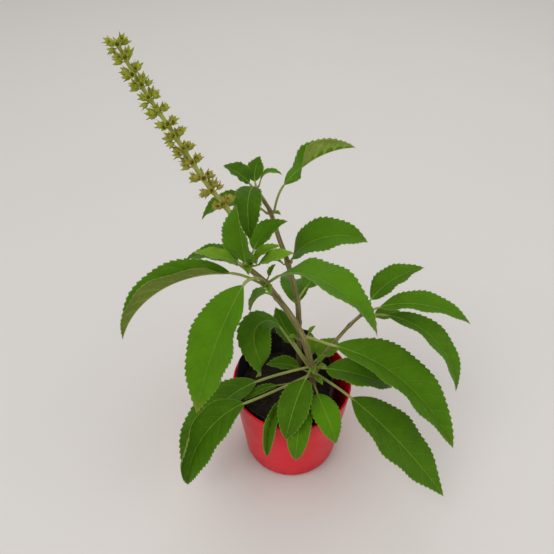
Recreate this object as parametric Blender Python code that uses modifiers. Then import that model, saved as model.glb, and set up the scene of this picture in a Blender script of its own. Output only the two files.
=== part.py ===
"""Scent leaf herb in a plastic pot: pot, nursery bag, soil, stems, leaves and one flower spike.

The origin is the middle of the pot's underside, +Z is up and +X is the plant's right side as it
is usually shown, with -Y towards the front. Lengths are in metres unless a name ends in _MM.
Everything that grows is drawn for a pot 110 mm across and follows the pot's own size.
"""
import math

import bmesh
import bpy
from mathutils import Vector

# Pot: a plain tapered cup with a rounded foot.
POT_HEIGHT = 0.100
POT_RIM_RADIUS = 0.055
POT_FOOT_RADIUS = 0.045
POT_WALL = 0.0018
POT_FOOT_ROUND = 0.009
POT_LIP_ROUND = 0.0009
# Nursery bag: a thin cup standing in the pot, its back and left edge left standing above the rim.
BAG_WALL = 0.0008
BAG_GAP = 0.0006
BAG_SLACK = 0.0055
BAG_LEAN_ANGLE = 165.0
BAG_FLOOR_GAP = 0.0006
COLLAR_ABOVE_RIM = 0.022
COLLAR_FRONT_DROP = 0.003
COLLAR_MIDDLE_ANGLE = 98.0
COLLAR_HALF_SPREAD = 84.0
PULL_IN = 0.004
PULL_IN_ANGLE = -14.0
PULL_IN_HALF_SPREAD = 52.0
PULL_IN_SAG = 0.006
BAG_WALL_SHARES = (0.30, 0.65, 1.0)
COLLAR_SHARES = (0.4, 1.0)
# Soil fills the bag to this far below the pot's rim.
SOIL_BELOW_RIM = 0.013
SOIL_GAP = 0.00065
SOIL_DOME = 0.003
# The crown's outline: share of the radius, share of the dome's fall.
SOIL_CROWN = ((0.45, 0.3), (0.8, 0.7), (1.0, 1.0))

TURN_STEPS = 40
CLEARANCE = 0.0008
# The plant's sizes are for this rim radius; a wider pot carries a larger plant.
GROWN_FOR_RIM_RADIUS = 0.055
GROWTH = POT_RIM_RADIUS / GROWN_FOR_RIM_RADIUS

# Leaf build: rows along the stalk and the blade, and the thickness of each.
STALK_ROWS = 2
BLADE_ROWS = 7
STALK_THICKNESS = 0.0015 * GROWTH
BLADE_THICKNESS = 0.0007 * GROWTH
STALK_STANDOFF = 0.0013 * GROWTH
TIP_HALF_WIDTH = 0.0003 * GROWTH
BLADE_BELLY = (0.85, 1.10)
# How quickly a blade takes up its fold and its roll, in blade lengths.
FOLD_EASE = 0.25
ROLL_EASE = 1.0 / 3.0

SOIL_TOP = POT_HEIGHT - SOIL_BELOW_RIM

# Stems: thickness at foot and head, then the nodes from the soil up, as (x, y, height over soil).
STEMS_MM = {
    "stem_main": (3.2, 2.0, [
        (19, -4, 0), (19, -5, 17), (19, -5, 27), (17, -5, 37), (8, -5, 75),
        (-3, -6, 103), (-14, -8, 125), (-23, -10, 143), (-36, -13, 161)]),
    "stem_rear": (3.0, 1.2, [
        (8, 28, 0), (7, 30, 20), (6, 33, 54), (4, 33, 82), (-5, 34, 125),
        (-12, 35, 149), (-19, 36, 175), (-24, 37, 185), (-30, 39, 196)]),
    "stem_right": (1.8, 1.5, [
        (23, -2, 29), (28, 4, 42), (38, 8, 56), (50, 14, 70), (61, 20, 78)]),
}

# Flower spike: its stalk goes on from the head of the main stem.
SPIKE_MM = (1.9, 1.0, [
    (-37, -13, 164), (-39, -12, 182), (-42, -11, 198), (-49, -8, 211), (-60, -4, 225),
    (-71, 0, 243), (-82, 5, 262), (-93, 10, 279), (-102, 14, 295), (-110, 18, 312)])
# Whorls: how many, where the first and last stand on the stalk, and size at its foot and head.
WHORL_COUNT = 13
WHORL_FIRST = 0.29
WHORL_LAST = 0.98
WHORL_CROWDING = 0.88
WHORL_RADIUS_MM = (10.0, 8.0)
WHORL_HEIGHT_MM = (9.0, 7.0)
WHORL_LOBES = 6
WHORL_LOBE_DEPTH = 0.45
WHORL_STEPS = 24
# A whorl's section: share of the way out from the stalk, height as a share of the whorl's.
WHORL_SECTION = ((0.0, -0.25), (0.5, -0.5), (1.0, -0.15), (1.0, 0.25), (0.5, 0.4), (0.0, 0.3))

# Leaves, each from a node of a stem. Angles are in degrees and lengths in millimetres:
# azimuth the stalk sets out on (0 is +X, 90 is +Y), stalk length, stalk rise over the horizontal,
# blade length and width, blade rise at its base and at its tip, turn of the azimuth along the
# blade, roll of the blade about its midrib (right side up) and fold of each half.
LEAVES = [
    # name, stem, node, azimuth, stalk, rise, length, width, lift, droop, turn, roll, fold
    ("leaf_crown_upright", "stem_main", 8, 71, 12, 129, 54, 28, 100, 94, -37, 0, 25),
    ("leaf_crown_left_young", "stem_main", 8, 192, 5, 52, 36, 18, 45, 1, -14, -10, 15),
    ("leaf_crown_left_long", "stem_main", 7, 185, 26, 38, 113, 32, 10, -72, 16, 15, 55),
    ("leaf_crown_left_rear", "stem_main", 7, 147, 24, 27, 53, 22, 5, -38, 20, 0, 20),
    ("leaf_crown_front_left", "stem_main", 7, 209, 26, 60, 114, 46, -58, -58, 40, 0, 18),
    ("leaf_crown_right_rear", "stem_main", 8, 71, 12, 19, 37, 20, 20, 12, -60, 0, 25),
    ("leaf_crown_right_young", "stem_main", 8, 340, 7, 20, 30, 15, 50, 0, 30, 0, 15),
    ("leaf_crown_front_right", "stem_main", 7, 316, 16, 52, 101, 38, 50, -68, 19, 15, 20),
    ("leaf_crown_inner", "stem_main", 6, 140, 10, 0, 30, 20, -40, -85, 60, 0, 20),
    ("leaf_main_right_broad", "stem_main", 4, 357, 26, -25, 146, 50, -18, -48, -48, 0, 25),
    ("leaf_main_left_arched", "stem_main", 3, 170, 52, 62, 80, 28, 60, -125, 210, 0, 15),
    ("leaf_main_left_inner", "stem_main", 3, 143, 24, 46, 36, 24, 48, 42, -23, 0, 20),
    ("leaf_low_left_narrow", "stem_main", 1, 196, 30, 10, 34, 9, 5, -30, 10, 0, 20),
    ("leaf_low_left_rear", "stem_main", 3, 189, 47, -10, 118, 42, -22, -60, 60, -10, 20),
    ("leaf_low_left_front", "stem_main", 2, 206, 64, -6, 98, 38, 2, -82, 40, 20, 30),
    ("leaf_low_front", "stem_main", 3, 248, 12, 2, 60, 28, 12, -75, 0, 0, 15),
    ("leaf_low_front_under", "stem_main", 1, 254, 20, 8, 67, 20, 20, -105, 5, 0, 10),
    ("leaf_low_front_folded", "stem_main", 1, 226, 32, 8, 62, 14, 10, -100, 50, 20, 40),
    ("leaf_low_right_front", "stem_main", 2, 330, 36, -14, 119, 50, -26, -36, -14, 5, 10),
    ("leaf_low_right", "stem_main", 3, 338, 9, 10, 66, 34, 16, -45, 28, 5, 15),
    ("leaf_low_right_small", "stem_main", 1, 278, 17, 24, 52, 24, 23, -76, 32, 0, 10),
    ("leaf_low_rear_left", "stem_main", 2, 160, 9, 10, 32, 17, 10, -20, 15, 0, 20),
    ("leaf_low_rear_right", "stem_main", 3, 56, 9, -10, 30, 22, -10, 12, -12, 0, 20),
    ("leaf_low_rear_upright", "stem_main", 3, 98, 6, 35, 20, 12, 50, 20, -20, 0, 20),
    ("leaf_rear_right", "stem_rear", 4, 354, 4, 100, 75, 34, 68, -40, 15, -15, 20),
    ("leaf_top_hanging", "stem_rear", 8, 254, 8, 50, 50, 21, 25, -84, 30, 0, 20),
    ("leaf_top_left", "stem_rear", 8, 162, 5, 58, 24, 21, 47, 14, 4, 0, 20),
    ("leaf_top_upright", "stem_rear", 8, 99, 6, 2, 24, 15, 14, 39, -40, 0, 20),
    ("leaf_top_curled", "stem_rear", 8, 349, 6, 74, 21, 8, 79, -40, 7, 0, 20),
    ("leaf_rear_top_right", "stem_rear", 6, 22, 24, 80, 64, 26, 50, -9, -6, 15, 50),
    ("leaf_rear_top_left", "stem_rear", 6, 178, 14, 48, 46, 22, 22, -56, 15, 0, 20),
    ("leaf_rear_back_low", "stem_rear", 2, 95, 16, 20, 70, 32, 15, -65, -20, 0, 20),
    ("leaf_rear_back_high", "stem_rear", 3, 60, 12, 10, 50, 26, 5, -60, 20, 0, 20),
    ("leaf_right_up", "stem_right", 4, 34, 14, 38, 55, 28, 42, 8, -28, 5, 20),
    ("leaf_right_out", "stem_right", 4, 348, 17, 48, 82, 26, 32, -38, 0, 0, 22),
    ("leaf_right_down", "stem_right", 4, 352, 19, 20, 108, 28, -5, -78, -42, 0, 20),
    ("leaf_right_under", "stem_right", 4, 31, 18, -50, 37, 20, -5, -40, -35, 0, 20),
    ("leaf_right_small", "stem_right", 4, 215, 6, 50, 15, 10, 60, 45, -50, 0, 20),
]


def start_scene():
    """Empty the scene and return the collection that holds the object."""
    for item in list(bpy.data.objects):
        bpy.data.objects.remove(item, do_unlink=True)
    collection = bpy.data.collections.new("potted_scent_leaf")
    bpy.context.scene.collection.children.link(collection)
    return collection


def add_material(name, color, roughness, metallic=0.0):
    """A Principled material with one colour."""
    material = bpy.data.materials.new(name)
    material.use_nodes = True
    shader = material.node_tree.nodes["Principled BSDF"]
    shader.inputs["Base Color"].default_value = (*color, 1.0)
    shader.inputs["Roughness"].default_value = roughness
    shader.inputs["Metallic"].default_value = metallic
    return material


def add_mesh(name, mesh, material, collection):
    """Link a mesh as an object of the collection, with its material."""
    item = bpy.data.objects.new(name, mesh)
    item.data.materials.append(material)
    collection.objects.link(item)
    return item


def turned(name, outline, material, collection, middle=Vector()):
    """Turn an outline of (radius, height) about +Z; its outer side runs from top to bottom."""
    mesh = bpy.data.meshes.new(name)
    points = [(radius, 0.0, height) for radius, height in outline]
    edges = [(i, i + 1) for i in range(len(points) - 1)]
    mesh.from_pydata(points, edges, [])
    item = add_mesh(name, mesh, material, collection)
    screw = item.modifiers.new("turn", "SCREW")
    screw.steps = screw.render_steps = TURN_STEPS
    screw.use_merge_vertices = True
    screw.merge_threshold = 0.00005
    item.location = middle
    return item


def arc(centre, radius, start, end, count):
    """Points of a round corner in an outline, angles in degrees."""
    angles = [math.radians(start + (end - start) * i / (count - 1)) for i in range(count)]
    return [(centre[0] + radius * math.cos(a), centre[1] + radius * math.sin(a)) for a in angles]


def pot_radius(height):
    """Outer radius of the pot's straight wall."""
    return POT_FOOT_RADIUS + (POT_RIM_RADIUS - POT_FOOT_RADIUS) * height / POT_HEIGHT


def add_pot(material, collection):
    """The cup: straight tapered wall, rolled lip, rounded foot."""
    lip = POT_LIP_ROUND
    foot = POT_FOOT_ROUND
    foot_centre = (pot_radius(foot) - foot, foot)
    outline = [(0.0, POT_WALL)]
    outline += arc(foot_centre, foot - POT_WALL, -90, 0, 5)
    outline += arc((POT_RIM_RADIUS - lip, POT_HEIGHT - lip), lip, 180, 0, 5)
    outline += arc(foot_centre, foot, 0, -90, 5)
    outline.append((0.0, 0.0))
    return turned("pot", outline, material, collection)


def bag_radius(height):
    """Outer radius of the nursery bag inside the pot."""
    return pot_radius(height) - POT_WALL - BAG_GAP - BAG_SLACK


def bag_shift():
    """How far the narrower bag stands off the pot's middle, so that it leans on one side."""
    turn = math.radians(BAG_LEAN_ANGLE)
    return Vector((BAG_SLACK * math.cos(turn), BAG_SLACK * math.sin(turn), 0.0))


def swell(angle, middle, half_spread):
    """A smooth rise from 0 to 1 about the middle angle and back, angles in degrees."""
    away = abs((angle - middle + 180.0) % 360.0 - 180.0) / half_spread
    return math.cos(0.5 * math.pi * min(1.0, away)) ** 2


def bag_edge(angle):
    """Height of the bag's top edge round the pot."""
    low = POT_HEIGHT - COLLAR_FRONT_DROP
    high = POT_HEIGHT + COLLAR_ABOVE_RIM
    raised = (high - low) * swell(angle, COLLAR_MIDDLE_ANGLE, COLLAR_HALF_SPREAD) ** 0.5
    return low + raised - PULL_IN_SAG * swell(angle, PULL_IN_ANGLE, PULL_IN_HALF_SPREAD)


def add_bag(material, collection):
    """The nursery bag: a thin cup whose edge stands high at the back and is pulled in at the right."""
    floor = POT_WALL + BAG_FLOOR_GAP
    foot = POT_FOOT_ROUND
    ring_heights = [floor + foot] + [share * SOIL_TOP for share in BAG_WALL_SHARES]
    bm = bmesh.new()
    rings = []

    def ring(radius_at, height_at):
        """One ring of points round the pot, each from its angle."""
        row = []
        for step in range(TURN_STEPS):
            angle = 360.0 * step / TURN_STEPS
            radius, height = radius_at(angle), height_at(angle)
            turn = math.radians(angle)
            spot = Vector((radius * math.cos(turn), radius * math.sin(turn), height))
            row.append(bm.verts.new(spot + bag_shift()))
        rings.append(row)

    def edge_radius(angle, up):
        """Outer radius of the collar, at a share of its height over the soil."""
        height = SOIL_TOP + (bag_edge(angle) - SOIL_TOP) * up
        pulled = PULL_IN * swell(angle, PULL_IN_ANGLE, PULL_IN_HALF_SPREAD) * up
        return bag_radius(min(height, POT_HEIGHT)) - pulled

    ring(lambda a: bag_radius(floor) - foot, lambda a: floor)
    for height in ring_heights:
        ring(lambda a, h=height: bag_radius(h), lambda a, h=height: h)
    for up in COLLAR_SHARES:
        ring(lambda a, u=up: edge_radius(a, u), lambda a, u=up: SOIL_TOP + (bag_edge(a) - SOIL_TOP) * u)
    for up in reversed(COLLAR_SHARES):
        ring(lambda a, u=up: edge_radius(a, u) - BAG_WALL,
             lambda a, u=up: SOIL_TOP + (bag_edge(a) - SOIL_TOP) * u)
    for height in reversed(ring_heights):
        ring(lambda a, h=height: bag_radius(h) - BAG_WALL, lambda a, h=height: h)
    ring(lambda a: bag_radius(floor) - foot, lambda a: floor + BAG_WALL)
    for lower, upper in zip(rings, rings[1:]):
        for i in range(TURN_STEPS):
            j = (i + 1) % TURN_STEPS
            bm.faces.new((lower[i], lower[j], upper[j], upper[i]))
    bm.faces.new(list(reversed(rings[0])))
    bm.faces.new(rings[-1])
    mesh = bpy.data.meshes.new("nursery_bag")
    bmesh.ops.recalc_face_normals(bm, faces=bm.faces)
    bm.to_mesh(mesh)
    bm.free()
    return add_mesh("nursery_bag", mesh, material, collection)


def add_soil(material, collection):
    """The soil: fills the bag, slightly crowned."""
    gap = BAG_WALL + SOIL_GAP
    floor = POT_WALL + BAG_FLOOR_GAP + gap
    foot = POT_FOOT_ROUND
    top_radius = bag_radius(SOIL_TOP) - gap
    outline = [(0.0, SOIL_TOP)]
    outline += [(out * top_radius, SOIL_TOP - fall * SOIL_DOME) for out, fall in SOIL_CROWN]
    outline += [(bag_radius(floor + foot) - gap, floor + foot),
                (bag_radius(floor) - foot - gap, floor), (0.0, floor)]
    return turned("soil", outline, material, collection, bag_shift())


def grown(point):
    """A place in the plant, from millimetres over the soil to metres."""
    x, y, height = (value * GROWTH / 1000.0 for value in point)
    return Vector((x, y, SOIL_TOP + height))


def add_stem(name, route, foot_radius, head_radius, material, collection):
    """A tapered stem through its nodes."""
    curve = bpy.data.curves.new(name, "CURVE")
    curve.dimensions = "3D"
    curve.bevel_depth = 1.0
    curve.bevel_resolution = 1
    curve.use_fill_caps = True
    spline = curve.splines.new("POLY")
    spline.points.add(len(route) - 1)
    for i, (point, spot) in enumerate(zip(spline.points, route)):
        point.co = (*spot, 1.0)
        point.radius = foot_radius + (head_radius - foot_radius) * i / (len(route) - 1)
    item = bpy.data.objects.new(name, curve)
    item.data.materials.append(material)
    collection.objects.link(item)
    return item


def heading(azimuth, rise):
    """The direction of an azimuth and a rise, both in degrees."""
    turn, tilt = math.radians(azimuth), math.radians(rise)
    return Vector((math.cos(tilt) * math.cos(turn), math.cos(tilt) * math.sin(turn), math.sin(tilt)))


def belly(share):
    """Half width of a blade at a share of its length, 1 at its widest."""
    base, tip = BLADE_BELLY
    widest = base / (base + tip)
    return (share ** base * (1.0 - share) ** tip) / (widest ** base * (1.0 - widest) ** tip)


def add_leaf(row, stems, material, collection):
    """A stalk and a folded blade in one thin body."""
    (name, stem, node, azimuth, stalk, rise, length, width,
     lift, droop, turn, roll, fold) = row
    route, foot_radius, head_radius = stems[stem]
    stalk, length, width = (value * GROWTH / 1000.0 for value in (stalk, length, width))
    ahead = route[min(node + 1, len(route) - 1)] - route[max(node - 1, 0)]
    ahead.normalize()
    outward = heading(azimuth, rise)
    outward = (outward - outward.dot(ahead) * ahead).normalized()
    stem_radius = foot_radius + (head_radius - foot_radius) * node / (len(route) - 1)
    spot = route[node] + outward * (stem_radius + STALK_STANDOFF)

    rows = [(spot.copy(), azimuth, rise, 0.0)]
    for i in range(STALK_ROWS):
        middle = (i + 0.5) / STALK_ROWS
        end = (i + 1.0) / STALK_ROWS
        spot = spot + heading(azimuth, rise + (lift - rise) * middle ** 2) * stalk / STALK_ROWS
        rows.append((spot.copy(), azimuth, rise + (lift - rise) * end ** 2, 0.0))
    for i in range(BLADE_ROWS):
        middle = (i + 0.5) / BLADE_ROWS
        end = (i + 1.0) / BLADE_ROWS
        spot = spot + heading(azimuth + turn * middle,
                              lift + (droop - lift) * middle) * length / BLADE_ROWS
        rows.append((spot.copy(), azimuth + turn * end, lift + (droop - lift) * end, end))

    bm = bmesh.new()
    bmesh.ops.create_grid(bm, x_segments=2, y_segments=len(rows) - 1, size=1.0)
    bm.verts.ensure_lookup_table()
    ordered = sorted(bm.verts, key=lambda v: (round(v.co.y, 4), round(v.co.x, 4)))
    stalk_verts = []
    for i, (spot, bearing, slope, share) in enumerate(rows):
        along = heading(bearing, slope)
        side = heading(bearing - 90.0, 0.0)
        up = side.cross(along)
        spin = math.radians(roll) * min(1.0, share / ROLL_EASE)
        side, up = side * math.cos(spin) + up * math.sin(spin), up * math.cos(spin) - side * math.sin(spin)
        lift_half = math.radians(fold) * min(1.0, share / FOLD_EASE)
        half = 0.5 * STALK_THICKNESS
        if share > 0.0:
            half = max(0.5 * width * belly(share), half * math.sqrt(1.0 - share), TIP_HALF_WIDTH)
        for place, vert in zip((-1.0, 0.0, 1.0), ordered[3 * i:3 * i + 3]):
            vert.co = spot + side * (half * place * math.cos(lift_half)) + up * (
                half * abs(place) * math.sin(lift_half))
            if share == 0.0:
                stalk_verts.append(vert.index)
    bm.normal_update()
    mesh = bpy.data.meshes.new(name)
    bm.to_mesh(mesh)
    bm.free()
    item = add_mesh(name, mesh, material, collection)
    thick = item.vertex_groups.new(name="stalk")
    thick.add(stalk_verts, 1.0, "REPLACE")
    solid = item.modifiers.new("thickness", "SOLIDIFY")
    solid.thickness = STALK_THICKNESS
    solid.offset = 0.0
    solid.vertex_group = thick.name
    solid.thickness_vertex_group = BLADE_THICKNESS / STALK_THICKNESS
    return item


def along_route(route, share):
    """The place and direction at a share of a route's length."""
    lengths = [(b - a).length for a, b in zip(route, route[1:])]
    left = share * sum(lengths)
    for (a, b), length in zip(zip(route, route[1:]), lengths):
        if left <= length:
            return a + (b - a) * (left / length), (b - a).normalized()
        left -= length
    return route[-1].copy(), (route[-1] - route[-2]).normalized()


def add_whorl(name, route, share, stalk_radius, material, collection):
    """A ring of calyces round the spike's stalk, drawn as one lobed ring."""
    centre, along = along_route(route, share)
    across = along.orthogonal().normalized()
    other = along.cross(across)
    reach = (WHORL_RADIUS_MM[0] + (WHORL_RADIUS_MM[1] - WHORL_RADIUS_MM[0]) * share) * GROWTH / 1000.0
    height = (WHORL_HEIGHT_MM[0] + (WHORL_HEIGHT_MM[1] - WHORL_HEIGHT_MM[0]) * share) * GROWTH / 1000.0
    inner = stalk_radius + CLEARANCE
    bm = bmesh.new()
    rings = []
    for step in range(WHORL_STEPS):
        turn = math.tau * step / WHORL_STEPS
        lobe = 0.5 + 0.5 * math.cos(turn * WHORL_LOBES)
        outer = reach * (1.0 - WHORL_LOBE_DEPTH * (1.0 - lobe))
        radial = across * math.cos(turn) + other * math.sin(turn)
        rings.append([bm.verts.new(centre + radial * (inner + (outer - inner) * out)
                                   + along * (level * height)) for out, level in WHORL_SECTION])
    for step in range(WHORL_STEPS):
        here, there = rings[step], rings[(step + 1) % WHORL_STEPS]
        for i in range(len(here)):
            j = (i + 1) % len(here)
            bm.faces.new((here[i], here[j], there[j], there[i]))
    bmesh.ops.recalc_face_normals(bm, faces=bm.faces)
    mesh = bpy.data.meshes.new(name)
    bm.to_mesh(mesh)
    bm.free()
    return add_mesh(name, mesh, material, collection)


def build():
    """Build every piece of the potted herb."""
    collection = start_scene()
    red = add_material("pot_plastic", (0.60, 0.03, 0.05), 0.35)
    black = add_material("bag_film", (0.012, 0.012, 0.014), 0.45)
    earth = add_material("soil", (0.03, 0.02, 0.014), 0.95)
    bark = add_material("stem", (0.24, 0.17, 0.08), 0.7)
    green = add_material("leaf", (0.10, 0.21, 0.03), 0.5)
    flower = add_material("calyx", (0.30, 0.36, 0.08), 0.6)

    add_pot(red, collection)
    add_bag(black, collection)
    add_soil(earth, collection)
    stems = {}
    for name, (foot, head, nodes) in STEMS_MM.items():
        route = [grown(node) for node in nodes]
        radii = foot * GROWTH / 1000.0, head * GROWTH / 1000.0
        stems[name] = (route, *radii)
        add_stem(name, route, *radii, bark, collection)
    foot, head, nodes = SPIKE_MM
    spike = [grown(node) for node in nodes]
    foot, head = foot * GROWTH / 1000.0, head * GROWTH / 1000.0
    add_stem("spike_stalk", spike, foot, head, flower, collection)
    for i in range(WHORL_COUNT):
        up = (i / (WHORL_COUNT - 1)) ** WHORL_CROWDING
        share = WHORL_FIRST + (WHORL_LAST - WHORL_FIRST) * up
        add_whorl(f"whorl_{i + 1:02d}", spike, share, foot + (head - foot) * share, flower, collection)
    for row in LEAVES:
        add_leaf(row, stems, green, collection)


build()
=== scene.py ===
"""A potted scent leaf dressed over its frame: pot, nursery bag, soil, stems, leaves, flower spike.

Everything is in metres. The middle of the pot's underside is the origin, +Z is up and the front
faces -Y. The frame gives the pot's and the soil's sizes; the plant's own sizes are in millimetres
for a pot 110 mm across, and follow the pot.
"""

import logging
import math
from dataclasses import dataclass, field
from enum import Enum
from typing import Any, Sequence

import bpy
import numpy as np
from bpy.types import Material, Mesh, Node, NodeSocket, NodeTree, Object
from mathutils import Matrix, Vector, noise


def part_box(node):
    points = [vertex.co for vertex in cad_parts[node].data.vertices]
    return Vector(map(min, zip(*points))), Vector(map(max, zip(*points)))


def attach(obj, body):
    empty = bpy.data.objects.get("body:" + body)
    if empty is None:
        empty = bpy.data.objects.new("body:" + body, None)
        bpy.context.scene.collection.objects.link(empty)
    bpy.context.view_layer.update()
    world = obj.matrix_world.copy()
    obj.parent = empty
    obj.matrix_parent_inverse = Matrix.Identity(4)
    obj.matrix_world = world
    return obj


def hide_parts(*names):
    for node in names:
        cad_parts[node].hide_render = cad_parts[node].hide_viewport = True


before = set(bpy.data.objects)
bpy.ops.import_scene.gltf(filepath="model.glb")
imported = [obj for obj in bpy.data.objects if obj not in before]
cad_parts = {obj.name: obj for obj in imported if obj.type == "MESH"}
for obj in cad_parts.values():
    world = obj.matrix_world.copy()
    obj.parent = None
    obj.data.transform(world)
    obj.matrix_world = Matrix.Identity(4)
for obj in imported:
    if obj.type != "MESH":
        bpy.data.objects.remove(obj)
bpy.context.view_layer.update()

LOG = logging.getLogger("scent_leaf")
MM = 0.001
FOOT_TO_RIM = (45.0, 55.0)  # the pot's radius at the foot to that at the rim
BODY = "root"
FAR_FROM_RIM = 5.0  # millimetres, on skins that have no rim
Array = np.ndarray
Colour = tuple[float, float, float, float]
Face = tuple[int, ...]
Socket = NodeSocket


class Slot(Enum):
    """The record's material slots that the pieces take their finish from."""

    POT = "pot_plastic"
    BAG = "bag_film"
    SOIL = "soil"
    STEM = "stem"
    SPIKE = "spike_stalk"
    CALYX = "calyx"
    LEAF = "leaf"
    YOUNG = "young_leaf"


class Side(Enum):
    """The faces of a leaf, by the number of their material."""

    UPPER = 0
    LOWER = 1
    STALK = 2


# ---------- plan of the plant

# Stems: radius at foot and head, then the nodes from the soil up, as (x, y, height over soil).
STEMS_MM: dict[str, tuple[float, float, list[tuple[float, float, float]]]] = {
    "stem_main": (3.2, 2.0, [
        (19, -4, 0), (19, -5, 17), (19, -5, 27), (17, -5, 37), (8, -5, 75),
        (-3, -6, 103), (-14, -8, 125), (-23, -10, 143), (-36, -13, 161)]),
    "stem_rear": (3.0, 1.2, [
        (8, 28, 0), (7, 30, 20), (6, 33, 54), (4, 33, 82), (-5, 34, 125),
        (-12, 35, 149), (-19, 36, 175), (-24, 37, 185), (-30, 39, 196)]),
    "stem_right": (1.8, 1.5, [
        (23, -2, 29), (28, 4, 42), (38, 8, 56), (50, 14, 70), (61, 20, 78)]),
}
SPIKE_MM: tuple[float, float, list[tuple[float, float, float]]] = (1.9, 1.0, [
    (-37, -13, 164), (-39, -12, 182), (-42, -11, 198), (-49, -8, 211), (-60, -4, 225),
    (-71, 0, 243), (-82, 5, 262), (-93, 10, 279), (-102, 14, 295), (-110, 18, 312)])


@dataclass(frozen=True)
class LeafPlan:
    """One leaf: where it grows and how it lies. Lengths in millimetres, angles in degrees.

    bends are (share of the blade, right half's rise, left half's rise, right curl, left curl);
    without them both halves rise by fold, with roll added on the right and taken on the left.
    """

    name: str
    stem: str
    node: int
    azimuth: float
    stalk: float
    rise: float
    length: float
    width: float
    lift: float
    droop: float
    turn: float
    roll: float
    fold: float
    bends: tuple[tuple[float, float, float, float, float], ...] = ()


SEED = 11
LEAVES: list[LeafPlan] = [LeafPlan(*row) for row in (
    # name, stem, node, azimuth, stalk, rise, length, width, lift, droop, turn, roll, fold
    ("crown_upright", "stem_main", 8, 71, 12, 129, 54, 28, 100, 94, -37, 0, 25),
    ("crown_left_young", "stem_main", 8, 192, 5, 52, 36, 18, 45, 1, -14, -10, 15),
    ("crown_left_long", "stem_main", 7, 185, 26, 38, 113, 32, 10, -72, 16, 15, 55,
     ((0.0, 25, 25, 0, 0), (0.15, 45, 60, 0, 0), (0.6, 45, 70, 0, 10), (1.0, 50, 60, 0, 0))),
    ("crown_left_rear", "stem_main", 7, 147, 24, 27, 53, 22, 5, -38, 20, 0, 20),
    ("crown_front_left", "stem_main", 7, 209, 26, 60, 114, 46, -58, -58, 40, 0, 18),
    ("crown_right_rear", "stem_main", 8, 71, 12, 19, 37, 20, 20, 12, -60, 0, 25),
    ("crown_right_young", "stem_main", 8, 340, 7, 20, 30, 15, 50, 0, 30, 0, 15),
    ("crown_front_right", "stem_main", 7, 316, 16, 52, 101, 38, 50, -68, 19, 15, 20),
    ("crown_inner", "stem_main", 6, 140, 10, 0, 30, 20, -40, -85, 60, 0, 20),
    ("main_right_broad", "stem_main", 4, 357, 26, -25, 146, 50, -18, -48, -48, 0, 25),
    ("main_left_arched", "stem_main", 3, 170, 52, 62, 80, 28, 60, -125, 210, 0, 15),
    ("main_left_inner", "stem_main", 3, 143, 24, 46, 36, 24, 48, 42, -23, 0, 20),
    ("low_left_narrow", "stem_main", 1, 196, 30, 10, 34, 9, 5, -30, 10, 0, 20),
    ("low_left_rear", "stem_main", 3, 189, 47, -10, 118, 42, -22, -60, 60, -10, 20),
    ("low_left_front", "stem_main", 2, 206, 64, -6, 98, 38, 2, -82, 40, 20, 30,
     ((0.0, 20, 10, 0, 0), (0.25, 40, 10, 20, 0), (0.5, 45, 10, 130, 0), (0.8, 45, 10, 120, 0),
      (1.0, 40, 15, 40, 0))),
    ("low_front", "stem_main", 3, 248, 12, 2, 60, 28, 12, -75, 0, 0, 15),
    ("low_front_under", "stem_main", 1, 254, 20, 8, 67, 20, 20, -105, 5, 0, 10),
    ("low_front_folded", "stem_main", 1, 226, 32, 8, 62, 14, 10, -100, 50, 20, 40),
    ("low_right_front", "stem_main", 2, 330, 36, -14, 119, 50, -26, -36, -14, 5, 10),
    ("low_right", "stem_main", 3, 338, 9, 10, 66, 34, 16, -45, 28, 5, 15),
    ("low_right_small", "stem_main", 1, 278, 17, 24, 52, 24, 23, -76, 32, 0, 10),
    ("low_rear_left", "stem_main", 2, 160, 9, 10, 32, 17, 10, -20, 15, 0, 20),
    ("low_rear_right", "stem_main", 3, 56, 9, -10, 30, 22, -10, 12, -12, 0, 20),
    ("low_rear_upright", "stem_main", 3, 98, 6, 35, 20, 12, 50, 20, -20, 0, 20),
    ("rear_right", "stem_rear", 4, 354, 4, 100, 75, 34, 68, -40, 15, -15, 20),
    ("top_hanging", "stem_rear", 8, 254, 8, 50, 50, 21, 25, -84, 30, 0, 20),
    ("top_left", "stem_rear", 8, 162, 5, 58, 24, 21, 47, 14, 4, 0, 20),
    ("top_upright", "stem_rear", 8, 99, 6, 2, 24, 15, 14, 39, -40, 0, 20),
    ("top_curled", "stem_rear", 8, 349, 6, 74, 21, 8, 79, -40, 7, 0, 20),
    ("rear_top_right", "stem_rear", 6, 22, 24, 80, 64, 26, 50, -9, -6, 15, 50,
     ((0.0, 5, 0, 0, 0), (0.2, 0, -10, 0, 0), (0.33, 45, 15, 0, 0), (0.45, 98, 50, 0, 0),
      (1.0, 100, 55, 0, 0))),
    ("rear_top_left", "stem_rear", 6, 178, 14, 48, 46, 22, 22, -56, 15, 0, 20),
    ("rear_back_low", "stem_rear", 2, 95, 16, 20, 70, 32, 15, -65, -20, 0, 20),
    ("rear_back_high", "stem_rear", 3, 60, 12, 10, 50, 26, 5, -60, 20, 0, 20),
    ("right_up", "stem_right", 4, 34, 14, 38, 55, 28, 42, 8, -28, 5, 20),
    ("right_out", "stem_right", 4, 348, 17, 48, 82, 26, 32, -38, 0, 0, 22),
    ("right_down", "stem_right", 4, 352, 19, 20, 108, 28, -5, -78, -42, 0, 20),
    ("right_under", "stem_right", 4, 31, 18, -50, 37, 20, -5, -40, -35, 0, 20),
    ("right_small", "stem_right", 4, 215, 6, 50, 15, 10, 60, 45, -50, 0, 20),
)]
YOUNG_LEAVES = {"crown_left_young", "crown_right_young", "right_small", "low_rear_right",
                "low_rear_upright"}
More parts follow.
